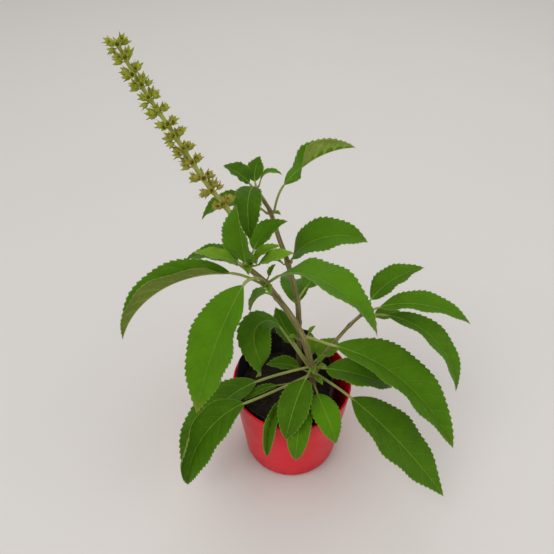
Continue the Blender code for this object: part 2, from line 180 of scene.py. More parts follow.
# Shades, 0 dark to 1 fresh and light, of the leaves that differ from the rest at their height:
# partly the leaf's own colour (fresh yellow-green growth) and partly painted shade on leaves that
# sit in shadow.
SHADES = {
    "crown_upright": 0.85, "crown_left_long": 0.45, "crown_left_rear": 0.15,
    "low_right_small": 1.0, "low_front_under": 0.7, "low_right": 0.3, "low_right_front": 0.25,
    "main_left_inner": 0.05, "main_left_arched": 0.25, "top_hanging": 0.0, "top_left": 0.1,
    "top_upright": 0.1, "top_curled": 0.8, "rear_right": 0.55, "rear_top_right": 0.85}
# Tiny young leaves that sit in the forks of larger ones.
BUDS: list[LeafPlan] = [LeafPlan(*row) for row in (
    ("bud_a", "stem_main", 3, 275, 2, 35, 13, 6, 50, 15, 10, 0, 30),
    ("bud_b", "stem_main", 3, 20, 2, 55, 12, 6, 60, 30, -10, 0, 30),
    ("bud_c", "stem_main", 2, 285, 2, 30, 14, 7, 45, -10, 20, 0, 30),
    ("bud_d", "stem_main", 2, 245, 2, 45, 11, 5, 60, 20, -20, 0, 30),
    ("bud_e", "stem_main", 4, 200, 2, 40, 12, 6, 55, 25, 20, 0, 30),
    ("bud_f", "stem_main", 4, 20, 2, 45, 10, 5, 65, 35, 10, 0, 30),
    ("bud_g", "stem_main", 7, 250, 2, 40, 13, 6, 50, 10, 30, 0, 30),
    ("bud_h", "stem_main", 7, 60, 2, 45, 11, 5, 60, 30, -30, 0, 30),
    ("bud_i", "stem_rear", 4, 200, 2, 45, 12, 6, 55, 20, 20, 0, 30),
    ("bud_j", "stem_rear", 6, 290, 2, 35, 12, 6, 45, 5, 30, 0, 30),
    ("bud_k", "stem_right", 4, 275, 2, 45, 12, 6, 50, 20, 30, 0, 30),
    ("bud_l", "stem_rear", 3, 250, 2, 40, 11, 5, 60, 25, 20, 0, 30),
    ("bud_m", "stem_main", 8, 262, 2, 50, 19, 9, 55, -5, 20, 0, 25),
    ("bud_n", "stem_main", 8, 20, 3, 45, 24, 11, 50, 5, -15, 0, 25),
    ("bud_o", "stem_main", 8, 130, 2, 55, 17, 8, 60, 20, 20, 0, 25),
    ("bud_p", "stem_main", 8, 305, 2, 60, 15, 7, 62, 20, -20, 0, 25),
    ("bud_q", "stem_main", 7, 275, 3, 30, 15, 7, 40, -10, 15, 0, 25),
    ("bud_r", "stem_main", 3, 260, 2, 55, 15, 7, 60, 10, 20, 0, 25),
    ("bud_s", "stem_main", 3, 315, 2, 50, 14, 6, 58, 20, 15, 0, 25),
)]


@dataclass(frozen=True)
class Site:
    """Sizes that the frame gives: the pot, the soil and how large the plant has grown."""

    pot_height: float
    rim_radius: float
    foot_radius: float
    soil_top: float
    wall: float = 1.8 * MM
    bag_gap: float = 0.6 * MM
    bag_slack: float = 5.5 * MM
    bag_lean: float = 165.0
    bag_wall: float = 0.5 * MM
    bag_corner: float = 9.0 * MM
    grown_for_rim_radius: float = 55.0 * MM

    @classmethod
    def from_frame(cls) -> "Site":
        """Read the pot's and the soil's boxes.

        Returns:
            The site of this frame.
        """
        low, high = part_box("pot")
        rim = 0.5 * (high.x - low.x)
        return cls(high.z, rim, rim * FOOT_TO_RIM[0] / FOOT_TO_RIM[1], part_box("soil")[1].z)

    @property
    def growth(self) -> float:
        """Metres in one millimetre of the plant's plan."""
        return MM * self.rim_radius / self.grown_for_rim_radius

    def bag_radius(self, height: float) -> float:
        """Outer radius of the bag at a height, which is narrower than the pot's inside."""
        return self.pot_radius(height) - self.wall - self.bag_gap - self.bag_slack

    def bag_shift(self) -> Array:
        """How far the bag stands off the pot's middle, so that it leans on one side."""
        turn = math.radians(self.bag_lean)
        return self.bag_slack * np.array((math.cos(turn), math.sin(turn), 0.0))

    def grown(self, points: Sequence[Sequence[float]]) -> Array:
        """Rows of x, y and height over the soil in plan millimetres, as places in metres."""
        return np.array(points, float) * self.growth + np.array((0.0, 0.0, self.soil_top))

    def pot_radius(self, height: float) -> float:
        """Outer radius of the pot's straight wall at a height."""
        return self.foot_radius + (self.rim_radius - self.foot_radius) * height / self.pot_height


# ---------- node trees


class Graph:
    """Wires one node tree."""

    def __init__(self, tree: NodeTree) -> None:
        """Keep the tree that the nodes go in."""
        self.tree = tree

    def feed(self, socket: Socket, value: Any) -> None:
        """Link a socket's value, or set it when it is plain.

        Args:
            socket: The input.
            value: Another node's output, or a number, vector, colour or data-block.
        """
        if isinstance(value, NodeSocket):
            self.tree.links.new(value, socket)
        else:
            socket.default_value = value

    def add(self, kind: str, sockets: dict[Any, Any] | None = None,
            **settings: Any) -> Node:
        """Make a node.

        Args:
            kind: The node's type name.
            sockets: Values or outputs for its inputs, by name or number.
            settings: The node's own properties.

        Returns:
            The node.
        """
        node = self.tree.nodes.new(kind)
        for key, value in settings.items():
            setattr(node, key, value)
        for key, value in (sockets or {}).items():
            self.feed(node.inputs[key], value)
        return node

    def maths(self, operation: str, *values: Any, clamp: bool = False) -> Socket:
        """One sum on numbers.

        Args:
            operation: The Math node's operation.
            values: Its inputs.
            clamp: Whether the result stays in 0 to 1.

        Returns:
            The result.
        """
        node = self.add("ShaderNodeMath", dict(enumerate(values)), operation=operation)
        node.use_clamp = clamp
        return node.outputs[0]

    def times(self, *values: Any) -> Socket:
        """Two numbers multiplied."""
        return self.maths("MULTIPLY", *values)

    def plus(self, *values: Any, clamp: bool = False) -> Socket:
        """Two numbers added, and kept in 0 to 1 if asked."""
        return self.maths("ADD", *values, clamp=clamp)

    def blend(self, share: Any, first: Any, second: Any, how: str = "MIX") -> Socket:
        """A colour between two.

        Args:
            share: How much of the second.
            first: The first colour.
            second: The second colour.
            how: The Mix node's blend type.

        Returns:
            The colour.
        """
        node = self.add("ShaderNodeMix", data_type="RGBA", blend_type=how)
        for index, value in ((0, share), (6, first), (7, second)):
            self.feed(node.inputs[index], value)
        return node.outputs[2]

    def ease(self, value: Any, low: float, high: float, start: float = 0.0,
             end: float = 1.0) -> Socket:
        """A smooth step from start to end as the value goes from low to high."""
        node = self.add("ShaderNodeMapRange", {
            "Value": value, "From Min": low, "From Max": high, "To Min": start, "To Max": end,
        }, interpolation_type="SMOOTHSTEP")
        return node.outputs["Result"]

    def cloud(self, vector: Any, scale: Any, detail: float = 3.0, rough: float = 0.55) -> Socket:
        """Noise from 0 to 1 at a scale, with so many octaves and so rough."""
        node = self.add("ShaderNodeTexNoise", {
            "Vector": vector, "Scale": scale, "Detail": detail, "Roughness": rough})
        return node.outputs["Fac"]

    def split(self, vector: Any) -> Any:
        """The X, Y and Z of a vector."""
        return self.add("ShaderNodeSeparateXYZ", {0: vector}).outputs

    def vector(self, operation: str, first: Any, second: Any = None) -> Socket:
        """One sum on vectors.

        Args:
            operation: The Vector Math node's operation.
            first: The first vector.
            second: The second vector, or the number of a SCALE.

        Returns:
            The result.
        """
        sockets = {0: first}
        if second is not None:
            sockets["Scale" if operation == "SCALE" else 1] = second
        return self.add("ShaderNodeVectorMath", sockets, operation=operation).outputs[0]

    def group(self, tree: NodeTree, sockets: dict[str, Any]) -> Node:
        """Place a shared effect.

        Args:
            tree: The effect's group.
            sockets: Its inputs by name.

        Returns:
            The group node.
        """
        node = self.tree.nodes.new("ShaderNodeGroup")
        node.node_tree = tree
        for key, value in sockets.items():
            self.feed(node.inputs[key], value)
        return node

    def fact(self, name: str, output: str = "Vector") -> Socket:
        """What the mesh knows at each point, by its attribute's name."""
        return self.add("ShaderNodeAttribute", attribute_name=name).outputs[output]

    def here(self) -> Socket:
        """The place on the object in metres."""
        return self.add("ShaderNodeTexCoord").outputs["Object"]


def new_group(name: str, kind: str, inputs: Sequence[tuple[str, str, Any]],
              outputs: Sequence[tuple[str, str]]
              ) -> tuple[Graph, dict[str, Socket], dict[str, Socket]]:
    """Make an empty node group.

    Args:
        name: Its name.
        kind: The tree type.
        inputs: Name, kind of socket and default of each input.
        outputs: Name and kind of socket of each output.

    Returns:
        The graph, what comes in and where the results go.
    """
    tree = bpy.data.node_groups.new(name, kind)
    for label, socket, default in inputs:
        made = tree.interface.new_socket(
            name=label, in_out="INPUT", socket_type=f"NodeSocket{socket}")
        if default is not None:
            made.default_value = default
    for label, socket in outputs:
        tree.interface.new_socket(
            name=label, in_out="OUTPUT", socket_type=f"NodeSocket{socket}")
    graph = Graph(tree)
    start, end = graph.add("NodeGroupInput"), graph.add("NodeGroupOutput")
    return graph, {s.name: s for s in start.outputs}, {s.name: s for s in end.inputs}


class Effects:
    """Shader effects that several finishes share."""

    def __init__(self) -> None:
        """Build each group once."""
        self.mottle = self.build_mottle()
        self.veins = self.build_veins()
        self.specks = self.build_specks()

    def patches(self, graph: Graph, where: Socket, scale: float, contrast: float) -> Socket:
        """Place the mottle in a material, at a scale and a contrast, and give its mask."""
        return graph.group(self.mottle, {
            "Vector": where, "Scale": scale, "Contrast": contrast}).outputs["Mask"]

    def dots(self, graph: Graph, where: Socket, scale: float, amount: float) -> Socket:
        """Place the specks in a share of their cells and give their mask."""
        return graph.group(self.specks, {
            "Vector": where, "Scale": scale, "Amount": amount}).outputs["Mask"]

    @staticmethod
    def build_mottle() -> NodeTree:
        """Broad and fine patches laid over each other.

        Returns:
            The group: Vector, Scale and Contrast in, Mask out.
        """
        graph, given, result = new_group("mottle", "ShaderNodeTree", (
            ("Vector", "Vector", None), ("Scale", "Float", 1.0),
            ("Contrast", "Float", 1.6)), (("Mask", "Float"),))
        broad = graph.cloud(given["Vector"], given["Scale"], 2.0)
        fine = graph.cloud(given["Vector"], graph.times(given["Scale"], 5.3), 4.0, 0.65)
        both = graph.plus(graph.times(broad, 0.68), graph.times(fine, 0.32))
        spread = graph.times(graph.maths("SUBTRACT", both, 0.5), given["Contrast"])
        graph.feed(result["Mask"], graph.plus(spread, 0.5, clamp=True))
        return graph.tree

    @staticmethod
    def build_veins() -> NodeTree:
        """The vein network of a blade.

        Returns:
            The group: Place (across, along, from the rim, in mm) and Lamina (vein count, reach,
            share) in; Midrib, Laterals, Net and Height out.
        """
        graph, given, result = new_group("veins", "ShaderNodeTree", (
            ("Place", "Vector", None), ("Lamina", "Vector", None),
            ("Width", "Float", 0.045)),
            tuple((label, "Float") for label in ("Midrib", "Laterals", "Net", "Height")))
        place = graph.split(given["Place"])
        lamina = graph.split(given["Lamina"])
        across = graph.maths("ABSOLUTE", place["X"])
        thin = graph.maths("SUBTRACT", 1.0, graph.times(lamina["Z"], 0.6))
        middle = graph.ease(graph.maths("DIVIDE", across, thin), 0.35, 0.95, 1.0, 0.0)
        graph.feed(result["Midrib"], middle)
        uneven = graph.cloud(given["Place"], 0.12, 2.0)
        wobble = graph.times(graph.maths("SUBTRACT", uneven, 0.5), 0.16)
        count = graph.plus(lamina["X"], wobble)
        off = graph.maths("ABSOLUTE", graph.maths("SUBTRACT", graph.maths("FRACT", count), 0.5))
        line = graph.maths("SUBTRACT", 0.5, off)
        side = graph.ease(graph.maths("DIVIDE", line, given["Width"]), 0.25, 1.0, 1.0, 0.0)
        fade = graph.ease(lamina["Y"], 0.70, 1.0, 1.0, 0.15)
        started = graph.ease(lamina["X"], -0.1, 0.3)
        laterals = graph.times(graph.times(side, fade), started)
        graph.feed(result["Laterals"], laterals)
        wide = graph.add("ShaderNodeTexVoronoi", {"Vector": given["Place"], "Scale": 0.26},
                         feature="DISTANCE_TO_EDGE").outputs["Distance"]
        close = graph.add("ShaderNodeTexVoronoi", {"Vector": given["Place"], "Scale": 0.75},
                          feature="DISTANCE_TO_EDGE").outputs["Distance"]
        net = graph.maths("MAXIMUM", graph.ease(wide, 0.0, 0.10, 1.0, 0.0),
                          graph.times(graph.ease(close, 0.0, 0.16, 1.0, 0.0), 0.55))
        graph.feed(result["Net"], net)
        low = graph.maths("MAXIMUM", middle, graph.times(laterals, 0.8))
        low = graph.maths("MAXIMUM", low, graph.times(net, 0.40))
        grain = graph.times(graph.cloud(given["Place"], 4.0, 2.0), 0.18)
        graph.feed(result["Height"], graph.plus(graph.maths("SUBTRACT", 1.0, low), grain))
        return graph.tree

    @staticmethod
    def build_specks() -> NodeTree:
        """Scattered small specks, as of dust or pores.

        Returns:
            The group: Vector, Scale and Amount in, Mask out.
        """
        graph, given, result = new_group("specks", "ShaderNodeTree", (
            ("Vector", "Vector", None), ("Scale", "Float", 900.0),
            ("Amount", "Float", 0.3)), (("Mask", "Float"),))
        cell = graph.add("ShaderNodeTexVoronoi", {
            "Vector": given["Vector"], "Scale": given["Scale"]})
        dot = graph.ease(cell.outputs["Distance"], 0.12, 0.30, 1.0, 0.0)
        picked = graph.add("ShaderNodeSeparateColor", {0: cell.outputs["Color"]}).outputs[0]
        chosen = graph.maths("LESS_THAN", picked, given["Amount"])
        graph.feed(result["Mask"], graph.times(dot, chosen))
        return graph.tree


def new_material(name: str, **constants: Any) -> tuple[Material, Graph, Node]:
    """An empty Principled material.

    Args:
        name: Its name.
        constants: The shader's values that are the same all over, with _ for a space.

    Returns:
        The material, its graph and its shader.
    """
    material = bpy.data.materials.new(name)
    material.use_nodes = True
    graph = Graph(material.node_tree)
    material.node_tree.nodes.clear()
    shader = graph.add("ShaderNodeBsdfPrincipled")
    for key, value in constants.items():
        shader.inputs[key.replace("_", " ")].default_value = value
    graph.add("ShaderNodeOutputMaterial", {"Surface": shader.outputs[0]})
    return material, graph, shader


def finish_shader(graph: Graph, shader: Node, colour: Socket, roughness: Socket,
                  height: Socket, strength: float, depth: float) -> None:
    """Feed a shader's colour, roughness and relief.

    Args:
        graph: The material's graph.
        shader: Its Principled shader.
        colour: The base colour.
        roughness: The roughness.
        height: The relief's height, 0 to 1.
        strength: How strongly the relief shows.
        depth: How deep it is in metres.
    """
    bump = graph.add("ShaderNodeBump", {"Strength": strength, "Distance": depth, "Height": height})
    graph.feed(shader.inputs["Base Color"], colour)
    graph.feed(shader.inputs["Roughness"], roughness)
    graph.feed(shader.inputs["Normal"], bump.outputs["Normal"])


@dataclass(frozen=True)
class LeafFinish:
    """One face of a blade: its greens, its veins and how they stand."""

    name: str
    dark: Colour
    light: Colour
    vein: Colour
    rim: Colour
    tired: Colour
    rough: tuple[float, float] = (0.40, 0.58)
    vein_show: tuple[float, float, float] = (0.72, 0.24, 0.08)
    strength: float = 0.8
    gloss: float = 0.16

    def material(self, effects: Effects) -> Material:
        """Build the finish.

        Args:
            effects: The shared effects.

        Returns:
            The material.
        """
        material, graph, shader = new_material(
            self.name, Specular_IOR_Level=self.gloss, Specular_Tint=(0.62, 1.0, 0.30, 1.0))
        place, lamina = graph.fact("place"), graph.fact("lamina")
        tone = graph.fact("tone", "Fac")
        veins = graph.group(effects.veins, {"Place": place, "Lamina": lamina}).outputs
        patches = effects.patches(graph, graph.here(), 55.0, 2.2)
        # The tone attribute mixes the dark and light greens. It carries painted light and shade
        # from the leaf's place on the plant as well as the leaf's own colour.
        mixed = graph.plus(graph.times(patches, 0.40), graph.times(tone, 0.70), clamp=True)
        colour = graph.blend(mixed, self.dark, self.light)
        parts = graph.split(lamina)
        rim = graph.split(place)["Z"]
        for mask, show in zip(("Net", "Laterals", "Midrib"), reversed(self.vein_show)):
            colour = graph.blend(graph.times(veins[mask], show), colour, self.vein)
        end = graph.times(graph.ease(parts["Z"], 0.86, 1.0), graph.ease(tone, 0.3, 0.9))
        edge = graph.times(graph.ease(rim, 0.0, 0.9, 1.0, 0.0), 0.55)
        colour = graph.blend(edge, colour, self.rim)
        colour = graph.blend(graph.times(end, 0.5), colour, self.tired)
        spots = effects.dots(graph, place, 0.22, 0.10)
        colour = graph.blend(graph.times(spots, 0.35), colour, self.tired)
        low, high = self.rough
        rough = graph.ease(graph.cloud(place, 0.5, 3.0), 0.3, 0.7, low, high)
        finish_shader(graph, shader, colour, rough, veins["Height"], self.strength, 0.35 * MM)
        return material


@dataclass(frozen=True)
class BarkFinish:
    """A stalk's or stem's skin: streaks along it, darker flecks and a faint sheen."""

    name: str
    base: Colour
    streak: Colour
    fleck: Colour
    foot: Colour
    strength: float = 0.5

    def material(self, effects: Effects) -> Material:
        """Build the finish.

        Args:
            effects: The shared effects.

        Returns:
            The material.
        """
        material, graph, shader = new_material(
            self.name, Sheen_Weight=0.08, Sheen_Roughness=0.4, Specular_IOR_Level=0.3)
        place = graph.fact("place")
        tone = graph.fact("tone", "Fac")
        stretched = graph.add("ShaderNodeMapping", {"Vector": place, "Scale": (2.4, 0.04, 1.0)})
        lines = graph.cloud(stretched.outputs[0], 1.0, 4.0, 0.6)
        patches = effects.patches(graph, place, 0.10, 2.4)
        colour = graph.blend(graph.ease(lines, 0.42, 0.60), self.base, self.streak)
        colour = graph.blend(graph.times(patches, 0.35), colour, self.fleck)
        colour = graph.blend(graph.ease(tone, 0.1, 1.0), colour, self.foot)
        specks = effects.dots(graph, place, 1.1, 0.35)
        colour = graph.blend(graph.times(specks, 0.45), colour, self.fleck)
        height = graph.plus(graph.times(lines, 0.8), graph.times(specks, 0.3))
        finish_shader(graph, shader, colour, graph.ease(patches, 0.2, 0.8, 0.55, 0.75), height,
                      self.strength, 0.3 * MM)
        return material


@dataclass(frozen=True)
class PlasticFinish:
    """Moulded satin plastic with faint scuffs, painted shade darkening it towards the foot and a
    little dust.
    """

    name: str
    base: Colour
    deep: Colour
    faded: Colour
    # painted shade laid over the wall towards the foot
    painted_shade: Colour

    def material(self, effects: Effects) -> Material:
        """Build the finish.

        Args:
            effects: The shared effects.

        Returns:
            The material.
        """
        material, graph, shader = new_material(
            self.name, Specular_IOR_Level=0.20, Specular_Tint=(1.0, 0.45, 0.45, 1.0))
        here = graph.here()
        height = graph.split(here)["Z"]
        patches = effects.patches(graph, here, 22.0, 1.8)
        colour = graph.blend(patches, self.base, self.deep)
        flat = graph.add("ShaderNodeMapping", {"Vector": here, "Scale": (40.0, 40.0, 700.0)})
        scuff = graph.ease(graph.cloud(flat.outputs[0], 1.0, 5.0, 0.7), 0.58, 0.74)
        colour = graph.blend(graph.times(scuff, 0.16), colour, self.faded)
        # Painted shade: the wall is darkened towards the floor and broken up by noise; the same
        # mask also makes it rougher.
        foot = graph.ease(height, 0.0, 0.030, 0.45, 0.0)
        shade_breakup = graph.ease(graph.cloud(here, 90.0, 5.0, 0.6), 0.35, 0.65, 0.4, 1.0)
        painted_shade = graph.times(foot, shade_breakup)
        colour = graph.blend(painted_shade, colour, self.painted_shade)
        dust = effects.dots(graph, here, 420.0, 0.16)
        colour = graph.blend(graph.times(dust, 0.25), colour, self.faded)
        rough = graph.plus(graph.ease(patches, 0.2, 0.8, 0.30, 0.42),
                            graph.times(graph.plus(scuff, painted_shade), 0.25))
        relief = graph.plus(graph.times(scuff, 0.4), graph.cloud(here, 260.0, 3.0))
        finish_shader(graph, shader, colour, rough, relief, 0.12, 0.25 * MM)
        return material


@dataclass(frozen=True)
class FilmFinish:
    """Thin black nursery film: creases, worn patches and soil dust."""

    name: str
    base: Colour
    worn: Colour
    dust: Colour

    def material(self, effects: Effects) -> Material:
        """Build the finish.

        Args:
            effects: The shared effects.

        Returns:
            The material.
        """
        material, graph, shader = new_material(self.name, Specular_IOR_Level=0.5)
        here = graph.here()
        patches = effects.patches(graph, here, 60.0, 2.0)
        colour = graph.blend(patches, self.base, self.worn)
        specks = effects.dots(graph, here, 380.0, 0.30)
        film = graph.ease(graph.cloud(here, 70.0, 4.0), 0.45, 0.75, 0.0, 0.55)
        dusty = graph.maths("MAXIMUM", graph.times(specks, 0.8), film)
        colour = graph.blend(dusty, colour, self.dust)
        crease = graph.add("ShaderNodeTexVoronoi", {"Vector": here, "Scale": 95.0},
                           feature="DISTANCE_TO_EDGE").outputs["Distance"]
        relief = graph.plus(graph.ease(crease, 0.0, 0.18), graph.cloud(here, 160.0, 4.0))
        rough = graph.ease(graph.plus(film, patches), 0.3, 1.2, 0.30, 0.65)
        finish_shader(graph, shader, colour, rough, relief, 0.6, 0.5 * MM)
        return material


@dataclass(frozen=True)
class SoilFinish:
    """Damp potting soil: dark crumbs with lighter grit."""

    name: str
    dark: Colour
    light: Colour
    grit: Colour

    def material(self, effects: Effects) -> Material:
        """Build the finish.

        Args:
            effects: The shared effects.

        Returns:
            The material.
        """
        material, graph, shader = new_material(self.name, Specular_IOR_Level=0.25)
        here = graph.here()
        patches = effects.patches(graph, here, 130.0, 2.6)
        colour = graph.blend(patches, self.dark, self.light)
        grit = effects.dots(graph, here, 520.0, 0.14)
        colour = graph.blend(graph.times(grit, 0.8), colour, self.grit)
        grain = graph.cloud(here, 900.0, 5.0, 0.7)
        relief = graph.plus(graph.times(grain, 0.7), graph.times(grit, 0.5))
        rough = graph.ease(patches, 0.2, 0.8, 0.78, 0.98)
        finish_shader(graph, shader, colour, rough, relief, 0.9, 0.6 * MM)
        return material


@dataclass(frozen=True)
class CalyxFinish:
    """The flower cups: green to straw by age, with paler ribs."""

    name: str
    fresh: Colour
    dry: Colour
    rib: Colour

    def material(self, effects: Effects) -> Material:
        """Build the finish.

        Args:
            effects: The shared effects.

        Returns:
            The material.
        """
        material, graph, shader = new_material(self.name, Specular_IOR_Level=0.25)
        place, tone = graph.fact("place"), graph.fact("tone", "Fac")
        here = graph.here()
        patches = effects.patches(graph, here, 260.0, 2.4)
        age = graph.plus(graph.times(tone, 0.8), graph.times(patches, 0.3), clamp=True)
        colour = graph.blend(age, self.fresh, self.dry)
        turn = graph.split(place)["X"]
        wave = graph.maths("ABSOLUTE", graph.maths("SINE", graph.times(turn, 5.0)))
        rib = graph.ease(wave, 0.0, 0.35, 1.0, 0.0)
        colour = graph.blend(graph.times(rib, 0.5), colour, self.rib)
        relief = graph.plus(rib, graph.cloud(here, 1500.0, 3.0))
        rough = graph.ease(patches, 0.2, 0.8, 0.5, 0.7)
        finish_shader(graph, shader, colour, rough, relief, 0.5, 0.3 * MM)
        return material


@dataclass(frozen=True)
class FloorFinish:
    """A plain pale floor with a barely uneven surface."""

    name: str
    pale: Colour
    paler: Colour

    def material(self, effects: Effects) -> Material:
        """Build the finish.

        Args:
            effects: The shared effects.

        Returns:
            The material.
        """
        material, graph, shader = new_material(self.name, Specular_IOR_Level=0.3)
        here = graph.here()
        patches = effects.patches(graph, here, 3.0, 1.0)
        colour = graph.blend(patches, self.pale, self.paler)
        finish_shader(graph, shader, colour, graph.ease(patches, 0.2, 0.8, 0.45, 0.6),
                      graph.cloud(here, 60.0, 2.0), 0.05, 0.5 * MM)
        return material


def tint(red: float, green: float, blue: float) -> Colour:
    """A colour from its three shares."""
    return (red, green, blue, 1.0)


class Palette:
    """Every finish of the plant and its pot, made once."""

    def __init__(self, effects: Effects) -> None:
        """Make the materials."""
        tired = tint(0.30, 0.22, 0.05)
        self.leaf = [
            LeafFinish("leaf_upper", tint(0.032, 0.085, 0.002), tint(0.080, 0.220, 0.002),
                       tint(0.19, 0.31, 0.035), tint(0.22, 0.35, 0.045), tired).material(effects),
            LeafFinish("leaf_lower", tint(0.085, 0.130, 0.014), tint(0.205, 0.285, 0.038),
                       tint(0.36, 0.43, 0.13), tint(0.24, 0.33, 0.08), tired,
                       (0.60, 0.75), (0.90, 0.70, 0.30), 0.7, 0.06).material(effects),
            BarkFinish("leaf_stalk", tint(0.26, 0.31, 0.060), tint(0.40, 0.43, 0.12),
                       tint(0.16, 0.19, 0.045), tint(0.24, 0.20, 0.07)).material(effects)]
        self.young = [
            LeafFinish("young_upper", tint(0.085, 0.205, 0.003), tint(0.155, 0.315, 0.008),
                       tint(0.25, 0.36, 0.06), tint(0.24, 0.35, 0.07), tired).material(effects),
            LeafFinish("young_lower", tint(0.12, 0.20, 0.030), tint(0.19, 0.29, 0.05),
                       tint(0.30, 0.38, 0.12), tint(0.25, 0.35, 0.09), tired,
                       (0.60, 0.75), (0.90, 0.60, 0.26), 0.7, 0.06).material(effects),
            self.leaf[2]]
        self.stem = BarkFinish("stem_bark", tint(0.100, 0.080, 0.024), tint(0.37, 0.34, 0.11),
                               tint(0.085, 0.055, 0.022),
                               tint(0.15, 0.115, 0.045)).material(effects)
        self.fuzz = BarkFinish("stem_fuzz", tint(0.36, 0.36, 0.20), tint(0.46, 0.46, 0.28),
                               tint(0.25, 0.24, 0.12), tint(0.30, 0.26, 0.16)).material(effects)
        self.spike = BarkFinish("spike_skin", tint(0.31, 0.36, 0.045), tint(0.44, 0.48, 0.10),
                                tint(0.16, 0.18, 0.04), tint(0.24, 0.20, 0.07)).material(effects)
        self.calyx = CalyxFinish("calyx_skin", tint(0.31, 0.36, 0.020), tint(0.35, 0.28, 0.05),
                                 tint(0.54, 0.57, 0.14)).material(effects)
        self.seed = SoilFinish("seed_brown", tint(0.09, 0.055, 0.018), tint(0.16, 0.10, 0.035),
                               tint(0.16, 0.10, 0.05)).material(effects)
        # The pot's fourth colour is painted shade darkening it towards the foot.
        self.plastic = PlasticFinish("pot_red", tint(0.78, 0.010, 0.028), tint(0.66, 0.006, 0.018),
                                     tint(0.72, 0.07, 0.085),
                                     tint(0.26, 0.020, 0.022)).material(effects)
        self.film = FilmFinish("bag_black", tint(0.010, 0.010, 0.011), tint(0.022, 0.022, 0.023),
                               tint(0.050, 0.038, 0.026)).material(effects)
        self.soil = SoilFinish("soil_dark", tint(0.012, 0.008, 0.005), tint(0.040, 0.026, 0.016),
                               tint(0.10, 0.070, 0.045)).material(effects)
        self.floor = FloorFinish("floor_pale", tint(0.645, 0.620, 0.598),
                                 tint(0.675, 0.650, 0.628)).material(effects)


# ---------- meshes


@dataclass
class Shape:
    """Points, faces and what is known at each point, gathered before a mesh is made."""

    points: list[Array] = field(default_factory=list)
    faces: list[Face] = field(default_factory=list)
    marks: list[int] = field(default_factory=list)
    place: list[Array] = field(default_factory=list)
    lamina: list[Array] = field(default_factory=list)
    tone: list[Array] = field(default_factory=list)
    count: int = 0

    def add(self, points: Array, faces: Sequence[Sequence[int]], mark: int | Sequence[int] = 0,
            place: Array | None = None, lamina: Array | None = None,
            tone: Array | float = 0.0) -> None:
        """Put in one closed body.

        Args:
            points: Its points, one row each.
            faces: Its faces by point number.
            mark: The number of its material, for all faces or for each.
            place: Three numbers at each point: across, along and from the rim in mm.
            lamina: Three numbers at each point: vein count, reach and share.
            tone: One number for all points or for each.
        """
        size = len(points)
        self.points.append(points)
        self.faces += [tuple(i + self.count for i in face) for face in faces]
        self.marks += [mark] * len(faces) if isinstance(mark, int) else list(mark)
        self.place.append(np.zeros((size, 3)) if place is None else place)
        self.lamina.append(np.zeros((size, 3)) if lamina is None else lamina)
        self.tone.append(np.broadcast_to(np.asarray(tone, float), (size,)))
        self.count += size

    def to_object(self, name: str, materials: Sequence[Material]) -> Object:
        """Make the mesh and its object.

        Args:
            name: The object's name.
            materials: Its materials, in the order of the marks.

        Returns:
            The object, linked to the scene.
        """
        mesh = bpy.data.meshes.new(name)
        mesh.from_pydata(np.concatenate(self.points).tolist(), [], self.faces)
        for material in materials:
            mesh.materials.append(material)
        mesh.polygons.foreach_set("material_index", np.array(self.marks, np.int32))
        mesh.polygons.foreach_set("use_smooth", np.ones(len(self.faces), bool))
        for label, rows in (("place", self.place), ("lamina", self.lamina)):
            fact = mesh.attributes.new(label, "FLOAT_VECTOR", "POINT")
            fact.data.foreach_set("vector", np.concatenate(rows).astype(np.float32).ravel())
        fact = mesh.attributes.new("tone", "FLOAT", "POINT")
        fact.data.foreach_set("value", np.concatenate(self.tone).astype(np.float32))
        mesh.update()
        return link(name, mesh)


def link(name: str, mesh: Mesh) -> Object:
    """Put a mesh in the scene as an object at the origin.

    Args:
        name: The object's name.
        mesh: Its mesh.

    Returns:
        The object.
    """
    made = bpy.data.objects.new(name, mesh)
    bpy.context.scene.collection.objects.link(made)
    return made


def direction(azimuth: Any, rise: Any) -> Array:
    """Unit vectors of azimuths and rises over the horizontal, in degrees."""
    turn, tilt = np.radians(azimuth), np.radians(rise)
    return np.stack(np.broadcast_arrays(
        np.cos(tilt) * np.cos(turn), np.cos(tilt) * np.sin(turn), np.sin(tilt)), -1)


def unit(rows: Array) -> Array:
    """Vectors at length one."""
    return rows / np.maximum(np.linalg.norm(rows, axis=-1, keepdims=True), 1e-12)


def flowing(nodes: Array, spacing: float) -> tuple[Array, Array]:
    """A smooth path through a route's nodes.

    Args:
        nodes: The nodes, one row each.
        spacing: How far apart the path's points are, about.

    Returns:
        The path's points, and which node number each stands at, as a fraction.
    """
    padded = np.vstack([2 * nodes[0] - nodes[1], nodes, 2 * nodes[-1] - nodes[-2]])
    points, counts = [], []
    for i in range(len(nodes) - 1):
        a, b, c, d = padded[i:i + 4]
        steps = max(2, int(round(np.linalg.norm(c - b) / spacing)))
        for t in np.arange(steps) / steps:
            points.append(0.5 * (2 * b + (c - a) * t + (2 * a - 5 * b + 4 * c - d) * t ** 2
                                 + (3 * b - a - 3 * c + d) * t ** 3))
            counts.append(i + t)
    points.append(nodes[-1])
    counts.append(len(nodes) - 1)
    return np.array(points), np.array(counts, float)


def carried(path: Array) -> tuple[Array, Array]:
    """Two directions square to a path, carried along it without twisting.

    Args:
        path: The path's points.

    Returns:
        The two directions at each point.
    """
    ahead = unit(np.gradient(path, axis=0))
    first = unit(np.cross(ahead[0], (0.0, 1.0, 0.0)))
    sides = [first]
    for tangent in ahead[1:]:
        side = sides[-1] - tangent * np.dot(sides[-1], tangent)
        sides.append(side / np.linalg.norm(side))
    side = np.array(sides)
    return side, np.cross(ahead, side)


